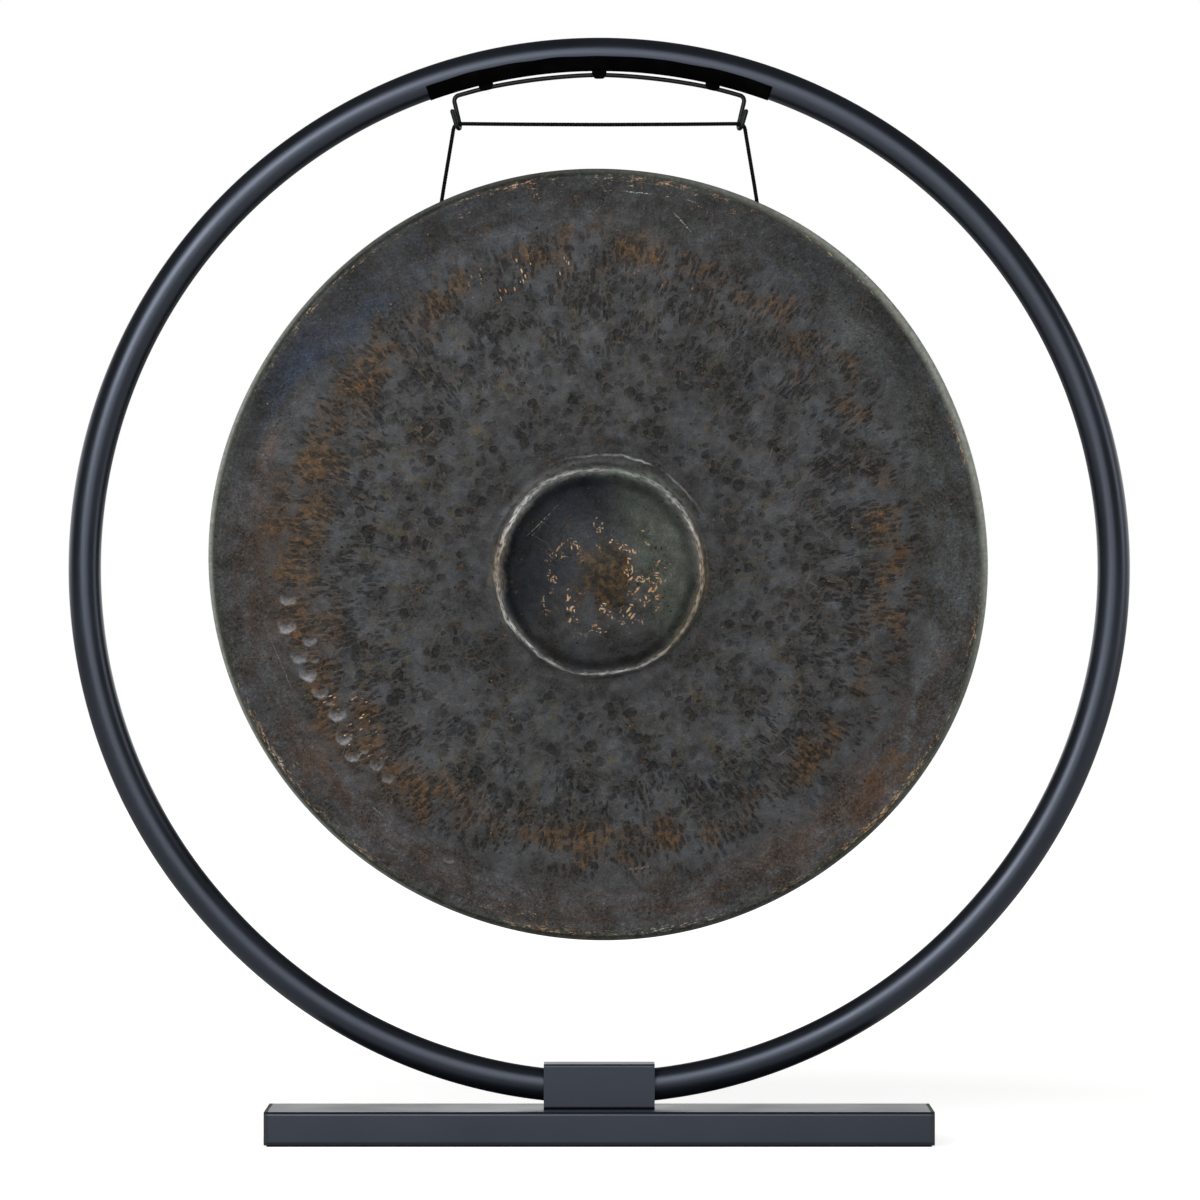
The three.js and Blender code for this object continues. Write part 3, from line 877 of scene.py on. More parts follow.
@dataclass(frozen=True)
class PatinatedBronze(Finish):
    """Hammered high-tin bronze with a fired, blackened patina, rubbed through in places.

    It gives the eye a dark, cool grey skin. Round hammer marks, 4 to 12 mm across, and packets of
    short radial strokes are darker than the ground. Rusty brown deposits lie between the strokes,
    one side has a blue bloom, and bare bronze shows as small bright flecks and scratches.

    Scratches are given by their middle, direction, length, width and strength, and dents by their
    middle, size and strength, in millimetres and degrees. A strength below zero is a dark crease.
    """

    name: str = "patinated bronze"
    roughness: float = 0.42
    metallic: float = 0.12
    specular: float = 0.2
    ground: str = "#414244"
    ground_dark: str = "#3a3938"
    cool: str = "#2f3745"
    warm: str = "#463932"
    green: str = "#434840"
    olive: str = "#46402f"
    rust_dark: str = "#30251b"
    rust_pale: str = "#6c5132"
    spot: str = "#8a6136"
    silver: str = "#dcdedf"
    brass: str = "#cdb08a"
    copper: str = "#bf8a64"
    stain_dark: str = "#1d1a15"
    stain_gold: str = "#54422a"
    bead_grey: str = "#7d7e78"
    bead_tan: str = "#857660"
    bead_green: str = "#7c8678"
    scratch_and_glint_grey: str = "#94969c"
    sheen_and_scratch_grey: str = "#a6aaa0"
    boss_drop: float = 10.0
    ring_radius: float = 80.0
    crest_offset: float = 11.0
    groove_offset: float = -8.5
    round_depth: float = 0.45
    stroke_depth: float = 0.35
    dish_depth: float = 1.3
    mottle_height: float = 0.5
    grain_height: float = 0.12
    crackle_depth: float = 0.1
    pit_depth: float = 0.3
    zones: tuple[str, ...] = (
        "hue", "green_zone", "shade", "round_zone", "stroke_zone", "rust_zone", "boss_fleck",
        "rim_fleck", "radial_fleck", "tan_zone", "ring_zone", "crest_zone", "wide_zone", "stain",
        "edge_sheen_zone", "line_fleck", "silver_zone", "front",
    )
    scratches: tuple[tuple[float, float, float, float, float, float], ...] = (
        (-42.9, 32.5, 45, 44, 1.2, 0.5), (-46.5, 26.0, 47, 26, 0.9, 0.35),
        (-20.0, 62.0, 12, 34, 1.3, -0.9), (-36.0, 54.0, 33, 26, 1.0, -0.8),
        (26.0, -66.0, 6, 46, 1.2, -0.8), (-44.0, -50.0, -42, 30, 1.5, -0.8),
        (-62.0, 0.0, 80, 24, 1.0, -0.7), (34.0, 60.0, -30, 30, 1.0, -0.7),
        (64.8, 261.5, -48, 26, 1.3, 0.7), (30.0, 284.5, -6, 30, 1.2, 0.8),
        (71.7, 278.0, -15, 14, 1.0, 0.6), (-248.0, -84.0, -67, 56, 1.0, 0.35),
        (-173.0, -199.0, -40, 16, 1.3, 0.5), (30.0, -243.6, 7, 26, 2.0, 0.35),
        (-123.0, -231.5, -17, 38, 1.6, -0.8), (-88.5, -243.3, -21, 36, 1.5, -0.8),
        (-53.5, -262.8, 119, 14, 2.0, -0.9), (219.0, -179.0, 88, 24, 0.9, -0.6),
    )
    dents: tuple[tuple[float, float, float, float], ...] = (
        (-242.9, -31.1, 6.2, 0.8), (-243.9, -52.0, 6.8, 1.0), (-226.2, -63.2, 5.4, 0.7),
        (-234.5, -75.8, 7.0, 0.7), (-227.4, -89.5, 6.6, 1.0), (-218.1, -103.8, 6.4, 0.7),
        (-211.0, -112.0, 3.6, 0.5), (-204.8, -120.8, 6.8, 1.0), (-199.9, -139.8, 6.2, 1.0),
        (-192.6, -154.7, 5.6, 0.9), (-184.0, -150.0, 3.4, 0.5), (-174.0, -161.5, 5.4, 0.6),
        (-165.5, -171.7, 4.8, 0.5), (-222.0, -78.0, 3.4, 0.5), (-118.0, -236.0, 4.2, 0.4),
    )

    def paint(self, on: Patterns, shader: Node) -> None:
        """Layers, from the ground up: hue clouds, mottling, marks, strokes, rust, bare metal.

        Broad zones come from the mesh's own attributes. Fine detail is worked out on the place on
        the gong's face in millimetres, and on the direction and share of radius.

        Args:
            on: the material's nodes.
            shader: its Principled shader.
        """
        on = self.on_face(on)
        marks, front = self.marks(on), on.zone["front"]
        plain = on.put(VECTOR, {0: self.hues(on), 3: self.tone(on, marks)}, operation="SCALE")
        colour, dish = self.worn(on, self.rusted(on, marks, plain))
        flecks = self.bare_flecks(on)
        ring, glow, groove = self.boss_ring(on)
        colour = self.rubbed(on, colour, (ring, glow, groove))
        colour = self.bared(on, colour, flecks)
        # The bright line round the boss counts as bare metal here, though it is partly a painted
        # highlight.
        bare = on.times(on.most(flecks, ring), front)
        rough = on.put(MATH, {0: on.mottle, 1: -0.16, 2: self.roughness + 0.16},
                       operation="MULTIPLY_ADD")
        relief = on.put(MATH, {0: marks.rounds, 1: -self.round_depth}, operation="MULTIPLY")
        for pattern, height in ((marks.lines, -self.stroke_depth),
                                (on.times(dish, front), -self.dish_depth),
                                (on.mottle, self.mottle_height), (on.grain, self.grain_height),
                                (marks.crackle, -self.crackle_depth),
                                (marks.pits, -self.pit_depth)):
            relief = on.put(MATH, {0: pattern, 1: height, 2: relief}, operation="MULTIPLY_ADD")
        on.feed(shader, {
            "Base Color": on.blend(front, plain, colour),
            "Metallic": on.put(RANGE, {0: bare, 1: 0.0, 2: 1.0, 3: self.metallic, 4: 0.25}),
            "Roughness": on.put(MATH, {0: bare, 1: -0.12, 2: rough}, operation="MULTIPLY_ADD"),
            "Normal": on.put(BUMP, {"Height": relief, "Distance": MM, "Strength": 0.9})})

    def on_face(self, on: Patterns) -> FacePatterns:
        """Reads the mesh's attributes and makes the clouds that several layers share.

        Args:
            on: the material's nodes.

        Returns:
            The patterns on the face.
        """
        place = on.put(ATTRIBUTE, out="Vector", attribute_name="face_mm")
        polar = on.put(ATTRIBUTE, out="Vector", attribute_name="polar")
        share = on.put(SPLIT, {0: polar}, out=2)
        ruffle = on.put(NOISE, {"Vector": place, "Scale": 0.16, "Detail": 3.0}, out="Color")
        ruffle = on.put(VECTOR, {0: ruffle, 1: (0.5, 0.5, 0.5)}, operation="SUBTRACT")
        swung = on.put(VECTOR, {0: ruffle, 1: (0.045, 0.045, 0.02), 2: polar},
                       operation="MULTIPLY_ADD")
        annulus = on.put(RANGE, {0: share, 1: 0.83, 2: 0.89})
        streak = on.put(RANGE, {0: on.stretched(swung, (7.0, 7.0, 42.0), 6.0, 0.62), 1: 0.32,
                                2: 0.68, 3: -1.0, 4: 1.0})
        return FacePatterns(
            tree=on.tree,
            place=place,
            polar=polar,
            share=share,
            zone={key: on.put(ATTRIBUTE, out="Fac", attribute_name=key) for key in self.zones},
            ruffle=ruffle,
            ruffled=on.put(VECTOR, {0: ruffle, 1: (7.0, 7.0, 7.0), 2: place},
                           operation="MULTIPLY_ADD"),
            swung=swung,
            annulus=annulus,
            streak=on.times(streak, annulus),
            gather=on.put(RANGE, {0: on.noise(place, 30.0, -0.1, 1.1, 2.0)}),
            drift=on.noise(place, 58.0, -0.22, 0.26),
            mottle=on.noise(place, 8.5, 0.7, 1.28, 6.0),
            grain=on.noise(place, 1.6, 0.74, 1.26, 3.0),
        )

    def hues(self, on: FacePatterns) -> Socket:
        """The ground's colour: hue clouds about 60 mm across, and olive and blue spokes.

        Args:
            on: the patterns on the face.

        Returns:
            The colour before any light and dark.
        """
        hue = on.put(MATH, {0: on.zone["hue"], 1: on.drift}, operation="ADD")
        hue = on.put(MATH, {0: on.streak, 1: 0.4, 2: hue}, operation="MULTIPLY_ADD")
        spokes = on.put(RANGE, {0: on.stretched(on.swung, (14.0, 14.0, 9.0), 5.0, 0.62),
                                1: 0.34, 2: 0.66, 3: -0.55, 4: 0.55})
        spokes = on.put(MATH, {0: spokes, 1: on.noise(on.place, 9.0, -0.35, 0.35, 6.0)},
                        operation="ADD")
        spokes = on.times(spokes, on.zone["round_zone"])
        ground = on.blend(on.gather, self.ground, self.ground_dark)
        for share, colour in ((on.put(RANGE, {0: hue, 1: -0.1, 2: -0.9}), self.cool),
                              (on.put(RANGE, {0: hue, 1: 0.1, 2: 0.8}), self.warm),
                              (on.zone["green_zone"], self.green),
                              (on.put(RANGE, {0: spokes, 1: 0.18, 2: 0.85}), self.olive),
                              (on.put(RANGE, {0: spokes, 1: -0.2, 2: -0.9, 4: 0.4}), self.cool)):
            ground = on.blend(share, ground, colour)
        return ground

    def marks(self, on: FacePatterns) -> Marks:
        """Round marks of three sizes, thick where they gather and darker at their edges, radial
        strokes about 3 mm apart and 10 mm long, side by side in packets, crackle and pits.

        Args:
            on: the patterns on the face.

        Returns:
            The marks.
        """
        moved = on.put(MAPPING, {"Vector": on.ruffled, "Location": (437.0, 211.0, 0.0)})
        large, large_out = on.spots(on.ruffled, 16.0, (3.8, 5.8), 0.8, 0.66)
        other, other_out = on.spots(moved, 14.0, (3.0, 5.0), 0.7, 0.62)
        small, _ = on.spots(moved, 9.5, (1.8, 3.4), 0.6, 0.6)
        thick = on.put(RANGE, {0: on.gather, 1: 0.1, 2: 0.7, 3: 0.35, 4: 1.15})
        edge = on.most(*(on.times(on.put(RANGE, {0: out, 1: 0.62, 2: 0.86}), disc)
                         for out, disc in ((large_out, large), (other_out, other))))
        rounds, edge = (on.times(pattern, on.zone["round_zone"], thick)
                        for pattern in (on.most(large, other, small), edge))
        sheaf = on.put(NOISE, {"Vector": on.ruffled, "Scale": 0.048, "Detail": 3.0,
                               "Roughness": 0.6})
        sheaf = on.put(MATH, {0: on.zone["rust_zone"], 1: 0.2, 2: sheaf},
                       operation="MULTIPLY_ADD")
        packets = on.times(on.put(RANGE, {0: sheaf, 1: 0.5, 2: 0.58}), on.zone["stroke_zone"])
        straight = on.put(VECTOR, {0: on.ruffle, 1: (0.014, 0.014, 0.012), 2: on.polar},
                          operation="MULTIPLY_ADD")
        bars = on.strokes(straight, (72.0, 72.0, 30.0), 0.92, 0.64)
        lines = on.times(packets, on.put(RANGE, {0: bars, 1: 0.0, 2: 0.5}))
        dark = on.most(on.times(rounds, 0.85), on.times(lines, 1.05))
        dark = on.put(MATH, {0: edge, 1: 0.3, 2: dark}, operation="MULTIPLY_ADD")
        crackle = on.put(RANGE, {0: on.noise(on.place, 2.6, -0.9, 1.4, 5.0), 1: 0.2, 2: 1.0})
        crackle = on.times(crackle, on.put(RANGE, {0: on.gather, 1: 0.3, 2: 1.0}))
        return Marks(
            rounds=rounds,
            lines=lines,
            dark=on.times(dark, on.noise(on.place, 3.4, 0.45, 1.15, 5.0)),
            sheaf=sheaf,
            crackle=crackle,
            crackled=on.put(RANGE, {0: crackle, 1: 0.0, 2: 1.0, 3: 1.0, 4: 0.3}),
            pits=on.spots(on.place, 8.0, (0.4, 1.1), 0.16)[0],
        )

    def tone(self, on: FacePatterns, marks: Marks) -> Socket:
        """Light and dark: clouds, marks, crackle, pits, nicks, and a painted shade line at the rim.

        Args:
            on: the patterns on the face.
            marks: the hammer's marks.

        Returns:
            The factor of the ground's colour.
        """
        cloud = on.put(RANGE, {0: on.gather, 3: 1.14, 4: 0.84})
        cloud = on.put(MATH, {0: on.streak, 1: -0.26, 2: cloud}, operation="MULTIPLY_ADD")
        darker = on.put(RANGE, {0: marks.dark, 1: 0.0, 2: 1.1, 3: 1.0, 4: 0.16})
        pitted = on.put(RANGE, {0: marks.pits, 1: 0.0, 2: 1.0, 3: 1.0, 4: 0.25})
        frayed = on.noise(on.place, 2.4, -0.34, 0.34, 6.0)
        frayed = on.put(MATH, {0: frayed, 1: on.annulus, 2: 1.0}, operation="MULTIPLY_ADD")
        nicks = [on.times(on.strokes(on.place, (0.26, 1.1, 0), 0.22, 0.55, turn), on.annulus)
                 for turn in (0.4, 1.7, 2.6)]
        nicked = on.put(RANGE, {0: on.most(*nicks[:2]), 3: 1.0, 4: 0.55})
        rubs = on.put(RANGE, {0: nicks[2], 3: 1.0, 4: 1.7})
        # A painted shade line along the shoulder, where the face bends over into the rim.
        line = on.band(on.share, (0.983, 0.986), (0.988, 0.991))
        lined = on.put(RANGE, {0: line, 1: 0.0, 2: 1.0, 3: 1.0, 4: 0.7})
        return on.times(cloud, on.mottle, on.grain, darker, marks.crackled, pitted, frayed,
                        nicked, rubs, on.zone["shade"], lined)

    def rusted(self, on: FacePatterns, marks: Marks, colour: Socket) -> Socket:
        """Rust in the gaps between the strokes and round the marks, in dots and as sparks.

        Args:
            on: the patterns on the face.
            marks: the hammer's marks.
            colour: the skin without rust.

        Returns:
            The rusted colour.
        """
        patch = on.put(MATH, {0: marks.sheaf, 1: on.zone["rust_zone"]}, operation="ADD")
        patch = on.put(MATH, {0: on.streak, 1: 0.12, 2: patch}, operation="MULTIPLY_ADD")
        patch = on.put(MATH, {0: on.noise(on.place, 42.0, -0.16, 0.12, 2.0), 1: patch},
                       operation="ADD")
        patch = on.put(RANGE, {0: patch, 1: 0.85, 2: 1.2})
        free = on.put(RANGE, {0: marks.dark, 1: 0.1, 2: 0.75, 3: 1.0, 4: 0.2})
        rust = on.blend(on.noise(on.place, 4.5, -0.1, 1.0, 5.0), self.rust_dark, self.rust_pale)
        rust = on.put(VECTOR, {0: rust, 3: on.times(on.grain, marks.crackled)},
                      operation="SCALE")
        dots, dots_out = on.spots(on.ruffled, 9.0, (1.0, 2.4), 0.35, 0.5)
        dots = on.times(dots, on.put(RANGE, {0: on.gather, 1: 0.4, 2: 0.8}),
                        on.zone["front"])
        colour = on.blend(on.times(patch, free, 0.9), colour, rust)
        colour = on.blend(on.times(dots, 0.9), colour, rust)
        hollow = on.times(dots, on.put(RANGE, {0: dots_out, 1: 0.6, 2: 0.35}))
        colour = on.put(VECTOR, {0: colour, 3: on.put(RANGE, {0: hollow, 3: 1.0, 4: 0.25})},
                        operation="SCALE")
        sparks, _ = on.spots(on.place, 6.0, (0.3, 0.75), 0.07)
        return on.blend(on.times(sparks, on.gather, on.zone["front"]), colour, self.spot)

    def worn(self, on: FacePatterns, colour: Socket) -> tuple[Socket, Socket]:
        """Hair scratches in three directions, and painted highlight crescents in the row of dents.

        Args:
            on: the patterns on the face.
            colour: the skin without them.

        Returns:
            The colour with both, and how deep each place lies in a dent.
        """
        hairs = [on.strokes(on.place, (0.05, 0.9, 0), kept, 0.5, turn)
                 for turn, kept in ((0.5, 0.04), (1.9, 0.03), (-0.7, 0.04))]
        hairs = on.times(on.most(*hairs), on.zone["front"],
                         on.put(RANGE, {0: on.drift, 1: 0.06, 2: 0.2, 4: 0.16}))
        colour = on.blend(hairs, colour, self.scratch_and_glint_grey)
        bent = on.put(VECTOR, {0: on.ruffle, 1: (5.0, 5.0, 5.0), 2: on.place},
                      operation="MULTIPLY_ADD")
        dent, dish = self.dent_row(on, bent)
        # Painted highlight crescents in the dents, broken up a little.
        rubbed = on.times(dent, on.noise(on.place, 3.0, 0.35, 1.0))
        return on.blend(rubbed, colour, self.scratch_and_glint_grey), dish

    def rubbed(self, on: FacePatterns, colour: Socket, boss: tuple[Socket, ...]) -> Socket:
        """The stain on the boss, the painted sheen on the rim's edge, and the ring round the boss.

        Args:
            on: the patterns on the face.
            colour: the skin without them.
            boss: what boss_ring gives back.

        Returns:
            The colour with all three.
        """
        ring, glow, groove = boss
        zone = on.zone
        colour = on.put(VECTOR, {0: colour, 3: groove}, operation="SCALE")
        stain = on.put(MATH, {0: zone["stain"], 1: on.noise(on.place, 13.0, -0.42, 0.4, 7.0)},
                       operation="ADD")
        stained = on.blend(on.noise(on.place, 7.0, -0.5, 1.2, 6.0), self.stain_dark,
                           self.stain_gold)
        stained = on.put(VECTOR, {0: stained, 3: on.grain}, operation="SCALE")
        colour = on.blend(on.put(RANGE, {0: stain, 1: 0.36, 2: 0.62, 4: 0.92}), colour, stained)
        # A painted sheen along the rim's edge.
        rim = on.times(zone["edge_sheen_zone"], on.noise(on.place, 4.0, 0.55, 1.1, 6.0))
        colour = on.blend(rim, colour, self.sheen_and_scratch_grey)
        # The bead's pale tone: partly wear, partly a painted sheen; on the crest, a painted pale
        # green reflection.
        bead = on.blend(zone["tan_zone"], self.bead_grey, self.bead_tan)
        bead = on.blend(zone["crest_zone"], bead, self.bead_green)
        colour = on.blend(glow, colour, bead)
        # The bright line round the boss: partly bare metal, partly a painted highlight.
        return on.blend(ring, colour, on.blend(zone["tan_zone"], self.silver, self.brass))

    def bared(self, on: FacePatterns, colour: Socket, flecks: Socket) -> Socket:
        """The long scratches and creases, and bare metal in the flecks.

        Args:
            on: the patterns on the face.
            colour: the skin without them.
            flecks: how bare each place is.

        Returns:
            The front's whole colour.
        """
        bent = on.put(VECTOR, {0: on.ruffle, 1: (2.0, 2.0, 2.0), 2: on.place},
                      operation="MULTIPLY_ADD")
        scratched, creased = self.scratch_lines(on, bent)
        colour = on.blend(scratched, colour, self.sheen_and_scratch_grey)
        colour = on.put(VECTOR, {0: colour, 3: on.put(RANGE, {0: creased, 3: 1.0, 4: 0.15})},
                        operation="SCALE")
        tint = on.put(CELLS, {"Vector": on.place, "Scale": 0.14}, out="Color")
        metal = on.blend(on.put(SPLIT_COLOUR, {0: tint}), self.brass, self.copper)
        metal = on.blend(on.zone["silver_zone"], metal, self.silver)
        return on.blend(flecks, colour, metal)

    def dent_row(self, on: Patterns, face: Socket) -> tuple[Socket, Socket]:
        """The row of hard dents at the lower left: discs at given places with a soft edge and
        painted highlights.

        Args:
            on: the material's nodes.
            face: the place on the face, in millimetres.

        Returns:
            How strong each place's painted highlight is, and how deep it lies in a dent, 0 to 1.
        """
        discs, dishes = [], []
        for x, y, size, strength in self.dents:
            local = on.put(MAPPING, {"Vector": face, "Location": (-x / size, -y / size, 0),
                                     "Scale": (1 / size, 1 / size, 0)})
            apart = on.put(VECTOR, {0: local}, out="Value", operation="LENGTH")
            # The painted highlight is brightest on the lower side and towards the edge of each
            # dent.
            lower = on.put(RANGE, {0: on.put(SPLIT, {0: local}, out=1), 1: 0.4, 2: -0.8, 3: 0.1,
                                   4: strength})
            lower = on.times(lower, on.put(RANGE, {0: apart, 2: 0.9, 3: 0.25}))
            discs.append(on.put(RANGE, {0: apart, 1: 1.2, 2: 0.85, 4: lower},
                                interpolation_type=SMOOTH))
            dishes.append(on.put(RANGE, {0: apart, 1: 1.1, 2: 0.1, 4: strength},
                                 interpolation_type=SMOOTH))
        return on.most(*discs), on.most(*dishes)

    def bare_flecks(self, on: FacePatterns) -> Socket:
        """Small bright marks: on the boss in three directions, round the rim, and radial ones.

        Args:
            on: the patterns on the face.

        Returns:
            How bare each place is.
        """
        zone = on.zone
        groups = []
        for turn, pitch in ((0.15, 7.0), (-0.9, 9.5), (1.4, 7.5)):
            marks = on.strokes(on.place, (1 / pitch, 3.4 / pitch, 0), 0.5, turn=turn)
            groups.append(on.times(marks, zone["boss_fleck"]))
        ragged = on.stretched(on.polar, (52.0, 52.0, 190.0), 5.0, 0.72)
        groups.append(on.times(on.put(RANGE, {0: ragged, 1: 0.56, 2: 0.68}), zone["rim_fleck"]))
        radial = on.strokes(on.polar, (110.0, 110.0, 52.0), 0.4)
        groups.append(on.times(radial, zone["radial_fleck"]))
        broken = on.put(RANGE, {0: on.noise(on.place, 2.6, -0.7, 1.9)})
        gathered = on.put(RANGE, {0: on.noise(on.place, 17.0, -1.5, 2.0, 3.0), 2: 0.8})
        small = on.times(on.most(*groups), broken, gathered)
        small = on.put(RANGE, {0: small, 1: 0.08, 2: 0.42})
        thin = on.times(on.band(on.share, (0.968, 0.977), (0.983, 0.989)),
                        on.put(RANGE, {0: zone["line_fleck"], 1: 0.02, 2: 0.3}))
        ragged = on.put(MATH, {0: zone["line_fleck"], 1: 0.11, 2: ragged},
                        operation="MULTIPLY_ADD")
        ragged = on.times(on.put(RANGE, {0: ragged, 1: 0.6, 2: 0.7}), thin,
                          on.put(RANGE, {0: on.noise(on.place, 1.7, -0.2, 1.7, 3.0)}))
        return on.most(small, ragged)

    def boss_ring(self, on: FacePatterns) -> tuple[Socket, Socket, Socket]:
        """The bead round the foot of the boss, with a painted highlight, and the dark groove
        inside.

        Args:
            on: the patterns on the face.

        Returns:
            Bright line and pale bead, each partly wear and partly painted light, and the groove's
            tone.
        """
        face, zone = on.place, on.zone
        centred = on.put(MAPPING, {"Vector": face, "Location": (0, self.boss_drop, 0),
                                   "Scale": (1, 1, 0)})
        reach = on.put(VECTOR, {0: centred}, out="Value", operation="LENGTH")
        reach = on.put(MATH, {0: reach, 1: on.noise(face, 42.0, -2.0, 2.0)}, operation="ADD")
        off = on.put(MATH, {0: reach, 1: self.ring_radius}, operation="SUBTRACT")
        far = on.put(MATH, {0: off}, operation="ABSOLUTE")
        wide = on.times(zone["wide_zone"], on.noise(face, 30.0, 0.5, 1.3))
        far = on.put(MATH, {0: far, 1: wide}, operation="DIVIDE")
        streak = on.stretched(on.polar, (16.0, 16.0, 260.0), 4.0)
        patchy = on.put(RANGE, {0: on.noise(face, 20.0, 0.0, 1.5, 3.0)})
        # The bright line: partly bare metal, partly a painted highlight.
        core = on.put(RANGE, {0: far, 1: 1.8, 2: 0.5}, interpolation_type=SMOOTH)
        core = on.times(core, on.put(RANGE, {0: streak, 1: 0.36, 2: 0.56}), patchy,
                        zone["ring_zone"])
        # A painted pale reflection on the crest at the upper right of the boss.
        crest = on.put(RANGE, {0: on.apart(off, self.crest_offset), 1: 1.3, 2: 0.2, 4: 0.4})
        crest = on.times(crest, zone["crest_zone"], patchy)
        glow = on.put(RANGE, {0: far, 1: 5.0, 2: 0.5, 4: 0.8}, interpolation_type=SMOOTH)
        glow = on.times(glow, on.put(RANGE, {0: streak, 1: 0.34, 2: 0.66, 3: 0.3, 4: 1.0}))
        groove = on.put(RANGE, {0: on.apart(off, self.groove_offset), 1: 6.5, 2: 0.5, 3: 1.0,
                                4: 0.6}, interpolation_type=SMOOTH)
        return on.most(core, crest), glow, groove

    def scratch_lines(self, on: Patterns, face: Socket) -> tuple[Socket, Socket]:
        """Long single scratches: each is a thin, soft-ended line at a given place and turn.

        Args:
            on: the material's nodes.
            face: the place on the face, in millimetres.

        Returns:
            The light scratches' mask, and the dark creases' mask.
        """
        light, dark = [], []
        for x, y, turn_deg, length, width, strength in self.scratches:
            local = on.put(VECTOR, {0: face, 1: (x, y, 0)}, operation="SUBTRACT")
            local = on.put(MAPPING, {"Vector": local, "Rotation": (0, 0, -math.radians(turn_deg))})
            local = on.put(VECTOR, {0: local, 1: (2 / length, 2 / width, 0)},
                           operation="MULTIPLY")
            apart = on.put(VECTOR, {0: local}, out="Value", operation="LENGTH")
            line = on.put(RANGE, {0: apart, 1: 1.0, 2: 0.55, 4: abs(strength)})
            (light if strength > 0 else dark).append(line)
        broken = on.put(RANGE, {0: on.noise(face, 1.7, -0.9, 1.7)})
        return on.times(on.most(*light), broken), on.times(on.most(*dark), broken)


# The sub-assemblies


@dataclass
class HoopLine:
    """The hoop's centre line: a circle, a little flatter at the bottom where its ends meet.

    The radius is the base radius plus the flattening times a share to a power. The share falls
    from 1 at the bottom to 0 at the flattened angle, as the cosine does.
    """

    centre_z: float = 0.4484
    radius: float = 0.402
    flattening: float = 0.0034
    flattened_deg: float = 50.0
    power: float = 1.5

    def points(self, degrees: np.ndarray, inwards: float | np.ndarray = 0.0) -> np.ndarray:
        """Points at angles from the top, growing towards +X.

        Args:
            degrees: the angles.
            inwards: how far inside the line the points lie.

        Returns:
            N by 3 points.
        """
        angle = np.radians(degrees)
        limit = math.cos(math.radians(self.flattened_deg))
        share = np.maximum(0, (-np.cos(angle) - limit) / (1 - limit))
        radius = self.radius + self.flattening * share**self.power - inwards
        return np.stack([radius * np.sin(angle), np.zeros_like(angle),
                         self.centre_z + radius * np.cos(angle)], 1)


@dataclass
class Hoop:
    """The steel tube rolled to a ring, its socket, bolts and plug."""

    line: HoopLine = field(default_factory=HoopLine)
    tube_radius: float = 0.0127
    wall: float = 0.0015
    slit: float = 0.0006
    steps: int = 400
    sides: int = 48
    edge: float = 0.0004

    def build(self, coat: PowderCoatedSteel, zinc: ZincPlatedSteel) -> None:
        """Makes the tube and rounds the socket's edges.

        Args:
            coat: the tube's and the socket's finish.
            zinc: the hidden fasteners' finish.
        """
        end = 180 - math.degrees(self.slit / 2 / self.line.radius)
        path = self.line.points(np.linspace(-end, end, self.steps))
        outer = carried(path, FRONT, ring(self.tube_radius, self.sides))
        inner = carried(path, FRONT, ring(self.tube_radius - self.wall, self.sides))
        skin = np.concatenate([outer, inner[::-1]])
        tube = Surface(skin, closed_rows=True).build("hoop_ring")
        painted = coat.material()
        dress(tube, painted)
        settle(tube, Body.STAND, Slot.POWDER_COAT, "hoop_tube")
        sleeve = merged_copy("socket_sleeve", "hoop_socket", self.edge)
        dress(sleeve, painted)
        settle(sleeve, Body.STAND, Slot.POWDER_COAT, "socket_sleeve")
        plated = zinc.material()
        for node in ("hoop_spigot", "frame_bolt_left", "frame_bolt_right", "frame_washer_left",
                     "frame_washer_right"):
            dress(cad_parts[node], plated)


@dataclass
class Foot:
    """The flat bar, its end caps and the rubber under it."""

    edge: float = 0.0004
    cap_edge: float = 0.0006

    def build(self, coat: PowderCoatedSteel, plastic: MouldedPlastic, rubber: SheetRubber) -> None:
        """Rounds the bar's and the caps' edges and dresses all of the foot.

        Args:
            coat: the bar's finish.
            plastic: the caps' finish.
            rubber: the mat's finish.
        """
        bar = merged_copy("foot_bar", "foot_tube", self.edge)
        dress(bar, coat.material())
        settle(bar, Body.STAND, Slot.POWDER_COAT, "foot_bar")
        moulded = plastic.material()
        for side in ("left", "right"):
            node = f"foot_end_cap_{side}"
            cap = merged_copy(node, f"foot_cap_{side}", self.cap_edge)
            dress(cap, moulded)
            settle(cap, Body.STAND, Slot.PLASTIC, node)
        dress(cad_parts["foot_mat"], rubber.material())


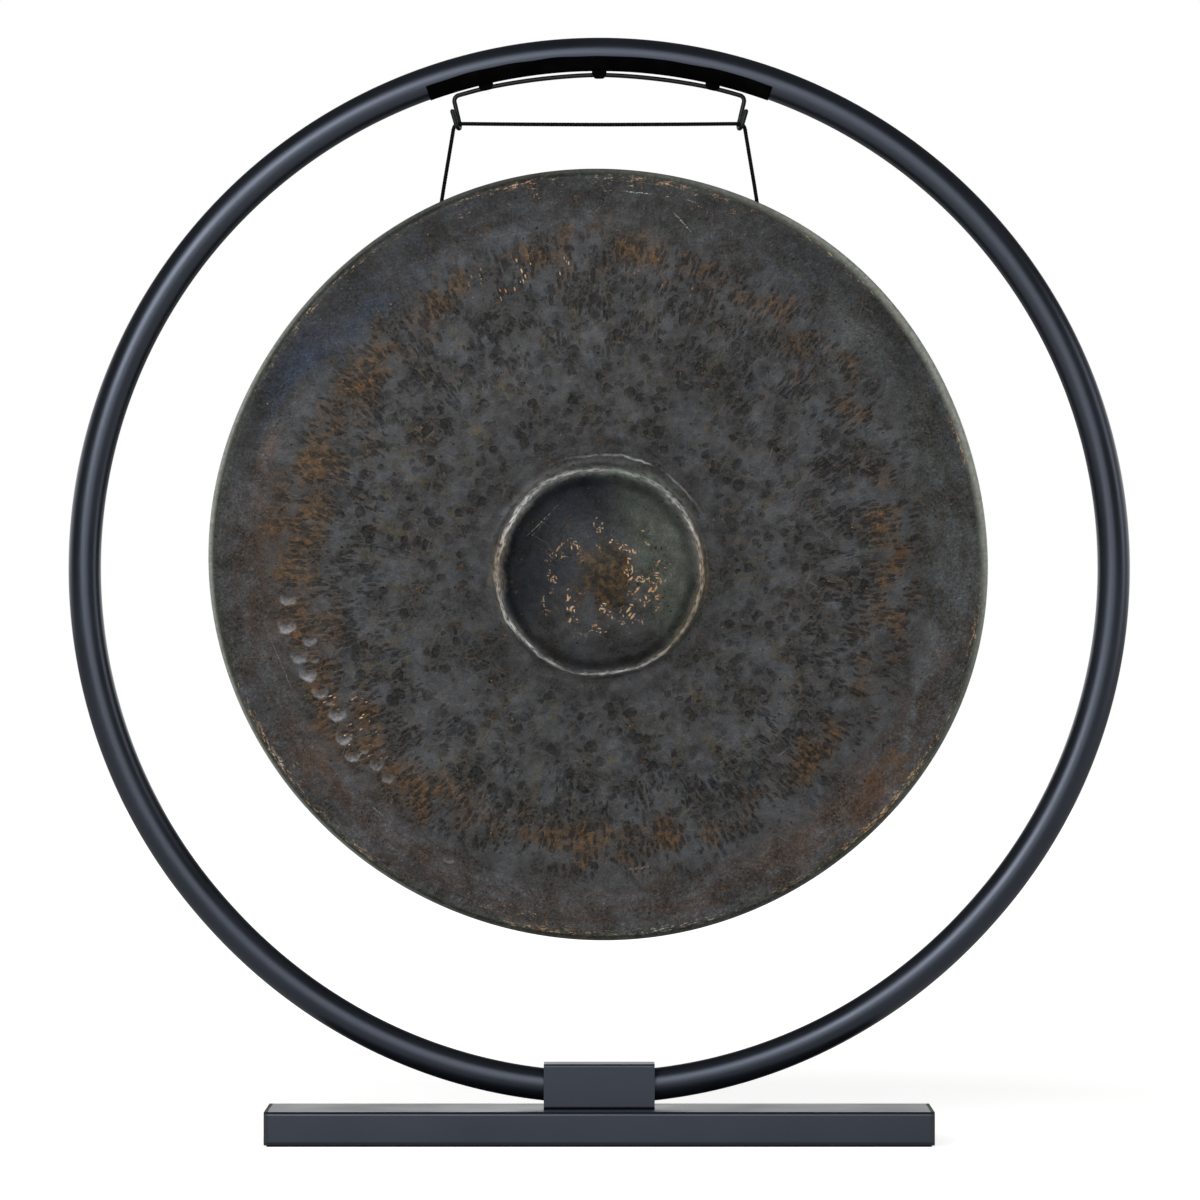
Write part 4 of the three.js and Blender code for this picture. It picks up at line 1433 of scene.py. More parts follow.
@dataclass
class Hanger:
    """The strip under the crown, the bent rod with its two hooks, and the three lugs."""

    line: HoopLine = field(default_factory=HoopLine)
    tube_radius: float = 0.0127
    gap: float = 0.0003
    strip_half_deg: float = 19.8
    strip_wrap_deg: float = 78.5
    strip_wander_deg: float = 0.8
    strip_wave_deg: float = 6.0
    strip_thickness: float = 0.0005
    strip_steps: int = 120
    strip_sides: int = 40
    rod_radius: float = 0.00175
    rod_standoff: float = 0.0037
    rod_bow: float = 0.0005
    rod_end_deg: float = 17.2
    rod_spacing: float = 0.0005
    rod_sides: int = 20
    crown_steps: int = 91
    bend_steps: int = 14
    lug_deg: float = 13.2
    bend_radius: float = 0.0045
    hook_x: float = 0.1095
    hook_half_gap: float = 0.0046
    hook_bend_share: float = 0.92
    hook_twist: float = 0.0013
    tip_rise: float = 0.0095
    tip_out: float = 0.0038
    hook_line_z: float = 0.795455
    hook_floor: float = 0.00355
    hook_height: float = 0.014
    lug_edge: float = 0.0006
    lug_half: float = 0.00575
    lug_taper: float = 0.75
    lug_cuts: int = 11

    def build(self, paint: MattBlackPaint, rod: BlackenedRod) -> None:
        """Makes the strip and the rod, and rounds the lugs' edges.

        Args:
            paint: the strip's and the lugs' finish.
            rod: the rod's finish.
        """
        matt = paint.material()
        strip = self.strip().build("crown_band")
        dress(strip, matt)
        settle(strip, Body.STAND, Slot.MATT_PAINT, "crown_strip")
        bent = self.rod().build("hook_rod")
        dress(bent, rod.material())
        settle(bent, Body.STAND, Slot.BLACK_ROD, "hanger_rod")
        for side in ("left", "centre", "right"):
            lug = merged_copy(f"hanger_lug_{side}", f"rod_lug_{side}", self.lug_edge)
            self.taper(lug)
            dress(lug, matt)
            settle(lug, Body.STAND, Slot.MATT_PAINT, f"hanger_lug_{side}")

    def taper(self, lug: Object) -> None:
        """Turns a lug into a low lump: below the strip its depth falls off towards its two ends.

        The loss is the taper times the fifth power of the place along the lug. The CAD lug has no
        points between its ends, so its long edges are cut first.

        Args:
            lug: the copy of the CAD lug.
        """
        mesh = lug.data
        work = bmesh.new()
        work.from_mesh(mesh)
        lengthwise = [edge for edge in work.edges if edge.calc_length() > 1.9 * self.lug_half]
        bmesh.ops.subdivide_edges(work, edges=lengthwise, cuts=self.lug_cuts, use_grid_fill=True)
        work.to_mesh(mesh)
        work.free()
        spots = np.empty(3 * len(mesh.vertices))
        mesh.vertices.foreach_get("co", spots)
        spots = spots.reshape(-1, 3)
        degrees = self.lug_deg * np.sign(np.round(spots[:, 0].mean(), 2))
        centre = self.line.points(np.array([degrees]))[0]
        turn = math.radians(degrees)
        along = (spots - centre) @ np.array([math.cos(turn), 0.0, -math.sin(turn)])
        inwards = np.array([-math.sin(turn), 0.0, -math.cos(turn)])
        depth = (spots - centre) @ inwards - self.tube_radius - self.gap - self.strip_thickness
        loss = self.lug_taper * np.abs(np.clip(along / self.lug_half, -1, 1)) ** 5
        spots -= (np.maximum(depth, 0) * loss)[:, None] * inwards
        mesh.vertices.foreach_set("co", spots.ravel())
        mesh.update()

    def strip(self) -> Surface:
        """A half shell round the inner side of the tube, whose two long edges wander a little.

        Returns:
            The closed surface: an arc of the outer radius and back along the inner one.
        """
        degrees = np.linspace(-self.strip_half_deg, self.strip_half_deg, self.strip_steps)
        wander = waves(degrees[:, None], self.strip_wave_deg, 5) * self.strip_wander_deg
        half = np.radians(self.strip_wrap_deg + wander)[:, None]
        turn = np.linspace(-1, 1, self.strip_sides)[None, :] * half
        inner = self.tube_radius + self.gap
        outer = inner + self.strip_thickness
        turns = np.concatenate([turn, turn[:, ::-1]], 1)
        radii = np.repeat((outer, inner), self.strip_sides)[None, :]
        section = np.stack([radii * np.sin(turns), radii * np.cos(turns)], -1)
        shell = carried(self.line.points(degrees), FRONT, section)
        return Surface(shell[:, ::-1], lidded=True)

    def hook(self, side: int) -> tuple[np.ndarray, list[float]]:
        """One hook's corners from its tip to the foot of its main leg, and their bend radii.

        Args:
            side: -1 for the left hook, 1 for the right one.

        Returns:
            The corners, and a radius for each.
        """
        floor_z = self.hook_line_z - self.hook_floor
        front_y = -2 * self.hook_half_gap
        bend = self.hook_half_gap * self.hook_bend_share
        corners = np.array([
            (self.hook_x + self.hook_twist + self.tip_out, front_y,
             self.hook_line_z + self.tip_rise),
            (self.hook_x + self.hook_twist, front_y, floor_z),
            (self.hook_x - self.hook_twist, 0.0, floor_z),
        ]) * (side, 1, 1)
        return corners, [0.0, bend, bend]

    def rod(self) -> Surface:
        """The rod: a round section along straight runs, bends and the arc under the crown.

        Returns:
            The closed surface, with rounded tips.
        """
        degrees = np.linspace(-self.rod_end_deg, self.rod_end_deg, self.crown_steps)
        bow = self.rod_bow * np.abs(np.sin(math.pi * degrees / self.lug_deg))
        bow = np.where(np.abs(degrees) < self.lug_deg, bow, 0)
        crown = self.line.points(degrees, self.tube_radius + self.rod_standoff + bow)
        left, left_bends = self.hook(-1)
        right, right_bends = self.hook(1)
        corners = np.vstack([left, crown, right[::-1]])
        bends = [*left_bends, self.bend_radius, *[0.0] * (self.crown_steps - 2),
                 self.bend_radius, *right_bends[::-1]]
        line = even_line(rounded_corners(corners, bends, self.bend_steps), self.rod_spacing)
        in_hook = line[:, 2:] < self.hook_line_z + self.hook_height
        inwards = np.cross(unit(np.gradient(line, axis=0)), (0.0, 1.0, 0.0))
        across = np.where(in_hook, np.sign(line[:, :1]) * (1, 0, 0), inwards)
        tube = carried(line, across, ring(self.rod_radius, self.rod_sides))
        return Surface(rounded_tips(tube, line), poles=True)


def rounded_corners(corners: np.ndarray, bends: list[float], steps: int) -> np.ndarray:
    """Straight runs between corners, with a round bend at each corner that has a radius.

    Args:
        corners: N by 3 points.
        bends: the radius at each corner, or 0.
        steps: how many steps a bend has.

    Returns:
        The line's points: on a bend, the centre plus two arms turned by the cosine and sine.
    """
    parts = []
    for i, bend in enumerate(bends):
        if not bend:
            parts.append(corners[i : i + 1])
            continue
        back, on = unit(corners[i - 1] - corners[i]), unit(corners[i + 1] - corners[i])
        half = math.acos(float(np.clip(back @ on, -1, 1))) / 2
        centre = corners[i] + unit(back + on) * bend / math.sin(half)
        first = corners[i] + back * bend / math.tan(half) - centre
        second = -back * bend
        turn = np.linspace(0, math.pi - 2 * half, steps + 1)[:, None]
        parts.append(centre + first * np.cos(turn) + second * np.sin(turn))
    return np.vstack(parts)


def rounded_tips(tube: np.ndarray, line: np.ndarray) -> np.ndarray:
    """Closes both ends of a tube with a half round, as rows that shrink to a pole.

    Args:
        tube: N by M by 3 points of the tube.
        line: its N centre points.

    Returns:
        The tube with the extra rows before and after it.
    """
    radius = float(np.linalg.norm(tube[0, 0] - line[0]))
    turn = np.radians([88.0, 70.0, 45.0, 20.0])[:, None, None]
    ends = []
    for at, towards in ((0, line[0] - line[1]), (-1, line[-1] - line[-2])):
        out = unit(towards) * radius
        rows = line[at] + (tube[at] - line[at])[None] * np.cos(turn) + out * np.sin(turn)
        pole = np.broadcast_to(line[at] + out, (1, *tube[at].shape))
        ends.append(np.concatenate([pole, rows]))
    return np.concatenate([ends[0], tube, ends[1][::-1]])


@dataclass
class HangingCord:
    """The cord over both hooks, and the knot on each of its ends inside the gong's rim."""

    radius: float = 0.0015
    hook_line_y: float = -0.0046
    hook_line_z: float = 0.795455
    half_route_mm: tuple[tuple[float, float], ...] = (
        (0, -0.6), (30, -0.5), (60, -0.35), (85, -0.15), (100, 0), (107.5, 0.05), (109.5, 0.02),
        (110.9, -0.25), (112.2, -1.05), (113.2, -2.4), (113.9, -4.6), (114.6, -9), (116.1, -18),
        (118.6, -33), (121.1, -48), (123.5, -63.3), (123.87, -65.5),
    )
    pad_length: float = 0.0022
    pad_low: float = 0.88
    pad_high: float = 1.04
    spacing: float = 0.0004
    sides: int = 20
    knot_centre: tuple[float, float, float] = (0.12478, -0.0046, 0.72491)
    knot_size: float = 0.0028
    knot_steps: int = 120

    def route(self) -> np.ndarray:
        """The cord's centre line from the left knot to the right one.

        Returns:
            Points an even 0.4 mm apart.
        """
        half = np.array(self.half_route_mm) * MM
        right = np.stack([half[:, 0], np.full(len(half), self.hook_line_y),
                          self.hook_line_z + half[:, 1]], 1)
        left = right[:0:-1] * (-1, 1, 1)
        return even_line(smooth_line(np.vstack([left, right]), 8), self.spacing)

    def plaited(self, line: np.ndarray, across: np.ndarray | tuple[float, float, float]
                ) -> np.ndarray:
        """The cord's section along a line, raised to a pad where two strands cross.

        The radius follows the product of two cosines of twice the angle round the cord, one turned
        forwards and one backwards by half a turn for each pad along it.

        Args:
            line: N by 3 points.
            across: N by 3 directions in which the section starts, or one for the whole line.

        Returns:
            N by M by 3 points, with M the section's sides.
        """
        far = walked(line)
        pads = 2 * round(far[-1] / (2 * self.pad_length))
        wind = (math.pi * pads * far / far[-1])[:, None]
        circle = ring(1.0, self.sides)
        turn = 2 * np.arctan2(circle[:, 1], circle[:, 0])
        lift = (1 + np.cos(turn + wind) * np.cos(turn - wind)) / 2
        radii = self.radius * (self.pad_low + (self.pad_high - self.pad_low) * lift)
        return carried(line, across, radii[..., None] * circle)

    def knot(self, side: int) -> np.ndarray:
        """The overhand knot's line: a trefoil pulled tight, with the way in along the cord's leg.

        Its point at angle t is sin t plus twice sin 2t, cos t less twice cos 2t, and minus 1.1
        times sin 3t, each times a third of the knot's size, with the third axis along the leg.

        Args:
            side: -1 for the left knot, 1 for the right one.

        Returns:
            The closed line's points.
        """
        t = np.linspace(0, 2 * math.pi, self.knot_steps + 1)
        shape = np.stack([np.sin(t) + 2 * np.sin(2 * t), np.cos(t) - 2 * np.cos(2 * t),
                          -1.1 * np.sin(3 * t)], 1) * self.knot_size / 3
        return shape + np.array(self.knot_centre) * (side, 1, 1)

    def build(self, braid: BraidedCord) -> None:
        """Args:
            braid: the cord's finish.
        """
        plait = braid.material()
        line = self.route()
        tube = rounded_tips(self.plaited(line, FRONT), line)
        cord = Surface(tube, poles=True).build("hanging_line")
        dress(cord, plait)
        settle(cord, Body.CORD, Slot.CORD, "hanging_cord")
        for name, side in (("left", -1), ("right", 1)):
            loop = self.knot(side)
            outwards = loop - np.array(self.knot_centre) * (side, 1, 1)
            knot_tube = self.plaited(loop, outwards)[:-1]
            knot = Surface(knot_tube, closed_rows=True).build(f"stopper_knot_{name}")
            dress(knot, plait)
            settle(knot, Body.GONG, Slot.CORD, f"cord_knot_{name}")


@dataclass(frozen=True)
class PatinaZones:
    """Where each part of the gong's patina lies, worked out for every vertex.

    Directions are in degrees, anticlockwise from the right, and places are shares of the radius or
    millimetres.

    Attributes:
        flat: across and up on the face, in millimetres.
        depth: how far behind the shoulder's front each place lies.
        polar: the cosine and sine of the direction, and the share of the radius.
        outer: whether each row lies on the front side of the wall.
        radius: the gong's radius.
        sag: how far the boss sits below the middle.
    """

    flat: np.ndarray
    depth: np.ndarray
    polar: np.ndarray
    outer: np.ndarray
    radius: float
    sag: float

    @property
    def share(self) -> np.ndarray:
        """The share of the radius."""
        return self.polar[..., 2]

    @property
    def reach(self) -> np.ndarray:
        """The distance from the middle, in millimetres."""
        return self.share * self.radius

    @property
    def level(self) -> np.ndarray:
        """The height above the middle of the boss."""
        return self.flat[..., 1] + self.sag

    @property
    def right(self) -> np.ndarray:
        """How far a place lies to the right of the boss's middle, and a little up."""
        return 0.94 * self.flat[..., 0] + 0.34 * self.level

    @property
    def up_left(self) -> np.ndarray:
        """How far a place lies up and to the left of the boss's middle."""
        return -0.7 * self.flat[..., 0] + 0.72 * self.level

    @property
    def hammered(self) -> np.ndarray:
        """1 on the face, 0 on the rim."""
        return step_up(self.depth, 20, 10)

    @property
    def front(self) -> np.ndarray:
        """1 on the front of the face, 0 on the rim and on the back."""
        return self.hammered * self.outer

    @property
    def on_boss(self) -> np.ndarray:
        """1 on the boss."""
        return step_up(self.reach, 80, 72)

    def toward(self, *bells: tuple[float, float, float]) -> np.ndarray:
        """A sum of bells round directions, each with its height, direction and width."""
        turn = np.arctan2(self.polar[..., 1], self.polar[..., 0])
        return sum(height * turn_hump(turn, centre, width) for height, centre, width in bells)

    def clipped(self, *bells: tuple[float, float, float]) -> np.ndarray:
        """The same sum, kept between 0 and 1."""
        return np.clip(self.toward(*bells), 0, 1)

    def patches(self, *rows: tuple[float, float, float, float, float]) -> np.ndarray:
        """A sum of soft patches: height, direction and its width, share of radius and its width."""
        return sum(self.toward((height, centre, width)) * hump(self.share, place, spread)
                   for height, centre, width, place, spread in rows)

    def hue(self) -> np.ndarray:
        """Blue below zero and warm above it.

        Returns:
            A number for each vertex.
        """
        blue = 0.22 * self.toward((1, 128, 28)) * step_up(self.share, 0.6, 0.9)
        # The boss's upper left gets a cool blue cast that goes with its painted shade.
        blue = blue + 0.55 * self.on_boss * step_up(self.up_left, -5, 40)
        return self.patches(
            (-0.9, 149, 9, 0.935, 0.04), (-0.5, 134, 9, 0.87, 0.04), (0.9, 161, 4, 0.89, 0.022),
            (0.5, 183, 16, 0.88, 0.07), (0.4, 222, 16, 0.9, 0.09), (0.5, 315, 26, 0.92, 0.08),
            (0.3, 265, 24, 0.92, 0.08), (-0.15, 25, 30, 0.9, 0.1)) - blue

    def rust(self) -> np.ndarray:
        """A broken ring of rust round the hammered face, and three patches near the rim.

        Returns:
            A number for each vertex.
        """
        ring_share = 0.77 + self.toward((0.02, 95, 30), (-0.05, 270, 40), (-0.03, 0, 30))
        strength = self.clipped(
            (1, 195, 26), (1, 165, 20), (0.75, 128, 20), (0.8, 88, 22), (0.62, 45, 24),
            (0.85, 230, 18), (0.85, 270, 25), (0.7, 315, 25), (0.75, 0, 24))
        ring_rust = 0.56 * strength * hump(self.share, ring_share, 0.105)
        rim_rust = self.toward((0.7, 180, 12), (1, 222, 12), (1, 318, 18))
        return (ring_rust + 0.3 * hump(self.share, 0.93, 0.05) * rim_rust) * self.front

    def shade(self) -> np.ndarray:
        """The ground's tone factor: a product of lighter and darker places, some painted light and
        shade.

        Returns:
            A number for each vertex.
        """
        share, reach = self.share, self.reach
        dull = self.toward((1, 45, 18), (1, 120, 22), (0.8, 163, 8), (0.6, 240, 8), (-0.5, 300, 22))
        low_side = self.toward((1, 250, 45), (1, 315, 40), (0.3, 0, 30), (-0.7, 75, 50),
                               (-0.5, 135, 20))
        cloud = hump(np.hypot(self.flat[..., 0] - 78, self.flat[..., 1] - 150), 0, 42)
        # Painted light and shade on the boss: lighter on its right, darker on its upper left.
        lit_boss = 0.5 * step_up(self.right, 10, 45) - 0.6 * step_up(self.up_left, -15, 30)
        factors = (
            # A painted shadow in a ring just outside the foot of the boss.
            1 - 0.22 * hump(reach, 98, 14) * step_up(reach, 82, 90),
            1 + 0.12 * hump(share, 0.6, 0.2) - 0.16 * step_up(share, 0.86, 0.94),
            1 - 0.3 * dull * hump(share, 0.95, 0.03),
            # Painted shade along the shoulder, strongest towards the upper left.
            1 - 0.42 * self.clipped((1, 112, 28), (0.4, 180, 9)) * hump(share, 0.977, 0.011),
            1 - 0.3 * cloud,
            1 + self.patches((0.4, 161, 4, 0.89, 0.022)),
            1 + 0.26 * np.clip(low_side, -1, 1) * step_up(share, 0.84, 0.9),
            # Painted counter-shading: darker towards the top of the gong, lighter towards the
            # bottom.
            1 - 0.1 * self.flat[..., 1] / self.radius,
            1 + self.on_boss * lit_boss,
        )
        return math.prod(factors)

    def flecks(self) -> dict[str, np.ndarray]:
        """Where bare metal shows: on the boss, round the rim and in radial marks.

        Returns:
            A number for each vertex, by the attribute's name.
        """
        share, front = self.share, self.front
        boss_turn = np.arctan2(self.level, self.flat[..., 0])
        boss_side = 0.3 + sum(height * turn_hump(boss_turn, centre, width) for height, centre, width
                              in ((1, 0, 55), (0.8, 225, 30), (1, 275, 30)))
        centre = np.hypot(self.flat[..., 0] - 2, self.level)
        rim = 0.12 + self.toward((0.7, 100, 14), (0.7, 78, 10), (0.35, 318, 16), (0.6, 262, 12),
                                 (0.35, 215, 12))
        radial = self.toward((1, 212, 9), (0.5, 105, 14), (0.3, 75, 10))
        return {
            "boss_fleck": self.on_boss * hump(centre, 33, 16) * front * np.clip(boss_side, 0, 1),
            "rim_fleck": np.clip(hump(share, 0.952, 0.024) * rim, 0, 1) * front,
            "line_fleck": self.clipped(
                (0.8, 17, 5), (0.35, 50, 12), (0.7, 80, 10), (0.7, 103, 5), (0.3, 135, 25),
                (1, 211, 11), (0.5, 232, 5), (0.9, 262, 8), (0.8, 280, 8), (0.5, 299, 4),
                (1, 321, 14), (0.7, 350, 6)) * front,
            "radial_fleck": np.clip(hump(share, 0.76, 0.06) * radial, 0, 1) * front,
            "silver_zone": self.clipped((0.8, 281, 7), (0.5, 212, 3), (0.8, 93, 5))
            * step_up(share, 0.9, 0.93),
        }

    def edge(self) -> np.ndarray:
        """Where a pale sheen is painted along the rim's edge, widest at the upper right.

        Returns:
            A number for each vertex, from 0 to 1.
        """
        start = 0.983 - self.toward((0.01, 25, 40))
        wide = 0.95 * self.toward((1, 25, 42), (0.6, 176, 24)) * step_up(self.share, start, 0.993)
        thin = 0.12 + self.toward((1.3, 178, 40), (0.8, 25, 38), (0.5, 232, 14))
        return self.front * np.clip(wide + thin * step_up(self.share, 0.989, 0.998), 0, 1)

    def by_name(self) -> dict[str, np.ndarray]:
        """All the attributes that the finish reads.

        Returns:
            A number or a vector for each vertex, by the attribute's name.
        """
        share, reach, depth = self.share, self.reach, self.depth
        # On the boss's right the green is a painted sheen that goes with its painted light;
        # elsewhere it is a green tint.
        green = (0.75 * self.on_boss * step_up(self.right, 10, 45)
                 + 0.5 * step_up(share, 0.97, 0.98) * step_up(depth, 20, 5)
                 + self.patches((0.35, 22, 30, 0.9, 0.07)))
        rounds = step_up(share, 0.3, 0.36) * step_up(share, 0.82, 0.66)
        strokes = step_up(share, 0.46, 0.6) * step_up(share, 0.88, 0.8)
        # How strongly the bright line round the boss shows by direction, partly bare metal and
        # partly painted highlight.
        ring = 0.5 + self.toward((0.5, 150, 22), (0.5, 215, 24), (0.5, 280, 34), (0.25, 20, 30),
                                 (-0.25, 75, 25))
        stain = hump(np.hypot((self.flat[..., 0] - 5) / 0.8, self.level), 0, 30)
        crest = step_up(reach, 55, 70) * step_up(reach, 120, 100)
        return {
            "face_mm": np.concatenate([self.flat, (depth * step_up(depth, 4, 20))[..., None]], -1),
            "polar": self.polar,
            "hue": self.hue(),
            "green_zone": np.clip(green, 0, 1),
            "shade": self.shade(),
            "round_zone": rounds * self.hammered,
            "stroke_zone": strokes * self.hammered,
            "rust_zone": self.rust(),
            "stain": stain * self.on_boss,
            "wide_zone": 1 + self.toward((0.9, 185, 28), (0.5, 135, 20), (0.4, 50, 25),
                                         (0.3, 0, 25)),
            # Where the crest carries a painted pale reflection at the upper right of the boss.
            "crest_zone": self.toward((1, 68, 26)) * crest,
            "tan_zone": self.clipped((0.6, 178, 24), (0.7, 0, 30), (0.5, 320, 20)),
            "ring_zone": np.clip(ring, 0, 1),
            "edge_sheen_zone": self.edge(),
            "front": self.front,
            **self.flecks(),
        }


@dataclass
class Gong:
    """The hammered bowl. Its shape is drawn as radius and depth behind the front of its shoulder,
    then turned round its axis, dented, and hung at the angle that brings its weight under the cord.
    """

    radius: float = 303.3
    wall: float = 2.3
    rim_depth: float = 58.0
    rim_taper: float = 4.0
    shoulder: float = 8.0
    crown: float = 4.0
    boss_radius: float = 84.0
    boss_height: float = 45.0
    fillet: float = 9.0
    ridge_height: float = 0.4
    crest_height: float = 1.5
    crest_radius: float = 95.0
    crest_width: float = 3.4
    crest_deg: float = 58.0
    crest_spread_deg: float = 34.0
    ridge_width: float = 12.0
    bead_radius: float = 80.0
    bead_height: float = 0.9
    bead_width: float = 2.4
    groove_radius: float = 73.5
    groove_depth: float = 0.6
    groove_width: float = 3.2
    dent_depth: float = 1.2
    uneven: tuple[tuple[float, int, float], ...] = ((95.0, 3, 0.45), (34.0, 4, 0.16))
    sag: float = 10.0
    sag_shares: tuple[float, float] = (0.42, 0.88)
    hole_x: float = 123.6
    hole_setback: float = 31.0
    hole_diameter: float = 5.0
    hole_y: float = -4.6
    hole_z: float = 731.955
    leg_way: tuple[float, float] = (2.4, -14.3)
    drill_reach: float = 6.0
    lean_deg: float = 5.30399
    sectors: int = 480

    def midline(self) -> np.ndarray:
        """The wall's middle line from the top of the boss to the edge of the rim.

        A dome arc, a hollow fillet, a low ridge, the crowned face, the round shoulder and the rim.

        Returns:
            Points as radius and depth, in millimetres.
        """
        half = self.wall / 2
        dome = (self.boss_radius**2 + self.boss_height**2) / (2 * self.boss_height)
        dome_depth = dome - self.boss_height - self.crown
        fillet_depth = -self.crown - self.fillet
        fillet_x = math.sqrt((dome + self.fillet) ** 2 - (fillet_depth - dome_depth) ** 2)
        dome_angle = math.atan2(fillet_x, dome_depth - fillet_depth)
        a = (np.linspace(0, 1, 46) ** 0.8) * dome_angle
        boss = np.stack([dome * np.sin(a), dome_depth - dome * np.cos(a)], 1)
        a = dome_angle * (1 - np.linspace(0, 1, 9)[1:])
        hollow = np.stack([fillet_x - self.fillet * np.sin(a),
                           fillet_depth + self.fillet * np.cos(a)], 1)
        s = np.linspace(0, 1, 9)[1:]
        ridge = np.stack([fillet_x + self.ridge_width * s,
                          -self.crown - self.ridge_height * np.sin(math.pi * s) ** 2], 1)
        start, end = fillet_x + self.ridge_width, self.radius - self.shoulder
        s = np.linspace(0, 1, 77)[1:]
        face = np.stack([start + (end - start) * s, -self.crown * (1 - s**2)], 1)
        a = np.linspace(0, math.pi / 2, 8)[1:]
        bend = self.shoulder - half
        shoulder = np.stack([end + bend * np.sin(a), bend * (1 - np.cos(a))], 1)
        depth = np.linspace(self.shoulder, self.rim_depth, 8)[1:]
        share = (depth - self.shoulder) / (self.rim_depth - self.shoulder)
        rim = np.stack([self.radius - half - self.rim_taper * share, depth - half], 1)
        return np.vstack([boss, hollow, ridge, face, shoulder, rim]) + (0, half)

    def profile(self) -> np.ndarray:
        """The wall's whole outline: the midline moved out by half the wall, a round edge, and back.

        The front side has a bead round the foot of the boss and a groove inside it, both bells.

        Returns:
            Points as radius and depth, from the front pole to the back pole.
        """
        line = self.midline()
        along = np.gradient(line, axis=0)
        along[0] = (1, 0)
        along = unit(along)
        normal = np.stack([along[:, 1], -along[:, 0]], 1) * self.wall / 2
        raised = self.bead_height * hump(line[:, :1], self.bead_radius, self.bead_width)
        raised = raised - self.groove_depth * hump(line[:, :1], self.groove_radius,
                                                   self.groove_width)
        a = np.radians([35, 75, 105, 145])[:, None]
        edge = line[-1] + normal[-1] * np.cos(a) + along[-1] * self.wall / 2 * np.sin(a)
        # The back is plainer, so it keeps fewer of the midline's points
        back = np.r_[0:45:5, 45:62:2, 62:138:7, 138 : len(line)]
        front = line + normal * (1 + 2 * raised / self.wall)
        outline = np.vstack([front, edge, (line - normal)[back][::-1]])
        outline[:, 0] = np.maximum(outline[:, 0], 0)
        outline[[0, -1], 0] = 0
        return outline

    def build(self, bronze: PatinatedBronze) -> None:
        """Makes the bowl and marks its zones for the finish.

        Args:
            bronze: the gong's finish.
        """
        outline = self.profile()
        turn = 2 * math.pi * np.arange(self.sectors) / self.sectors
        reach = outline[:, :1] * (1 + self.unround(turn) * step_up(outline[:, :1], 90, 300))
        flat = np.stack([reach * np.cos(turn), reach * np.sin(turn)], -1)
        low = 1 - step_up(outline[:, :1] / self.radius, *self.sag_shares)
        flat[..., 1] -= self.sag * low
        pushed = self.relief(flat.reshape(-1, 2), bronze.dents)
        depth = outline[:, 1:] + pushed.reshape(flat.shape[:2])
        placed = self.hung(flat, depth)
        bowl = Surface(placed[:, ::-1], poles=True).build("gong_disc")
        share = np.repeat(outline[:, :1], self.sectors, 1) / self.radius
        polar = np.stack([np.broadcast_to(np.cos(turn), share.shape),
                          np.broadcast_to(np.sin(turn), share.shape), share], -1)
        outer = (np.arange(len(outline)) < len(self.midline()))[:, None]
        zones = PatinaZones(flat, depth, polar, outer, self.radius, self.sag)
        for key, values in zones.by_name().items():
            set_values(bowl, key, values[:, ::-1].reshape(-1, *values.shape[2:]))
        self.drill(bowl)
        dress(bowl, bronze.material())
        settle(bowl, Body.GONG, Slot.BRONZE, "gong_bowl")

    def unround(self, turn: np.ndarray) -> np.ndarray:
        """How far the hand-made outline strays from a circle, as a share of the radius.

        It is a sum of sines of two to six times the direction, each with its own height and phase.

        Args:
            turn: the directions, in radians.

        Returns:
            A share for each direction.
        """
        sines = ((2, 0.0037, 2.32), (3, 0.0037, -2.54), (4, 0.0008, 2.46), (5, 0.0018, -2.63),
                 (6, 0.0012, 2.77))
        return sum(height * np.sin(times * turn + phase) for times, height, phase in sines)

    def relief(self, flat: np.ndarray, dents: tuple[tuple[float, ...], ...]) -> np.ndarray:
        """How far each place is pushed back: slow unevenness over the face, a dish for each dent,
        and a crest that stands out at the upper right of the boss; nothing at the edges.

        Args:
            flat: places on the face, in millimetres.
            dents: each dent's place, size and strength.

        Returns:
            Depths in millimetres.
        """
        reach = np.linalg.norm(flat, axis=1)
        uneven = sum(waves(flat, length, seed) * height for length, seed, height in self.uneven)
        crest = hump(reach, self.crest_radius, self.crest_width) * self.crest_height
        crest = crest * turn_hump(np.arctan2(flat[:, 1], flat[:, 0]), self.crest_deg,
                                  self.crest_spread_deg)
        dished = sum(self.dent_depth * strength
                     * hump(np.hypot(flat[:, 0] - x, flat[:, 1] - y), 0, 0.8 * size)
                     for x, y, size, strength in dents)
        return uneven * step_up(reach, 60, 120) * step_up(reach, 300, 285) - crest + dished

    def hung(self, flat: np.ndarray, depth: np.ndarray) -> np.ndarray:
        """Turns face places and depths into the gong's place under the cord.

        Args:
            flat: places on the face, in millimetres, with across and up on the last axis.
            depth: depths behind the shoulder's front, in millimetres.

        Returns:
            Points in metres.
        """
        lean = math.radians(self.lean_deg)
        rim_mid = self.radius - self.wall / 2 - self.rim_taper * (
            self.hole_setback - self.shoulder) / (self.rim_depth - self.shoulder)
        drop = math.sqrt(rim_mid**2 - self.hole_x**2)
        y, z = depth - self.hole_setback, flat[..., 1] - drop
        turned_y = self.hole_y + y * math.cos(lean) - z * math.sin(lean)
        turned_z = self.hole_z + y * math.sin(lean) + z * math.cos(lean)
        return np.stack([flat[..., 0], turned_y, turned_z], -1) * MM

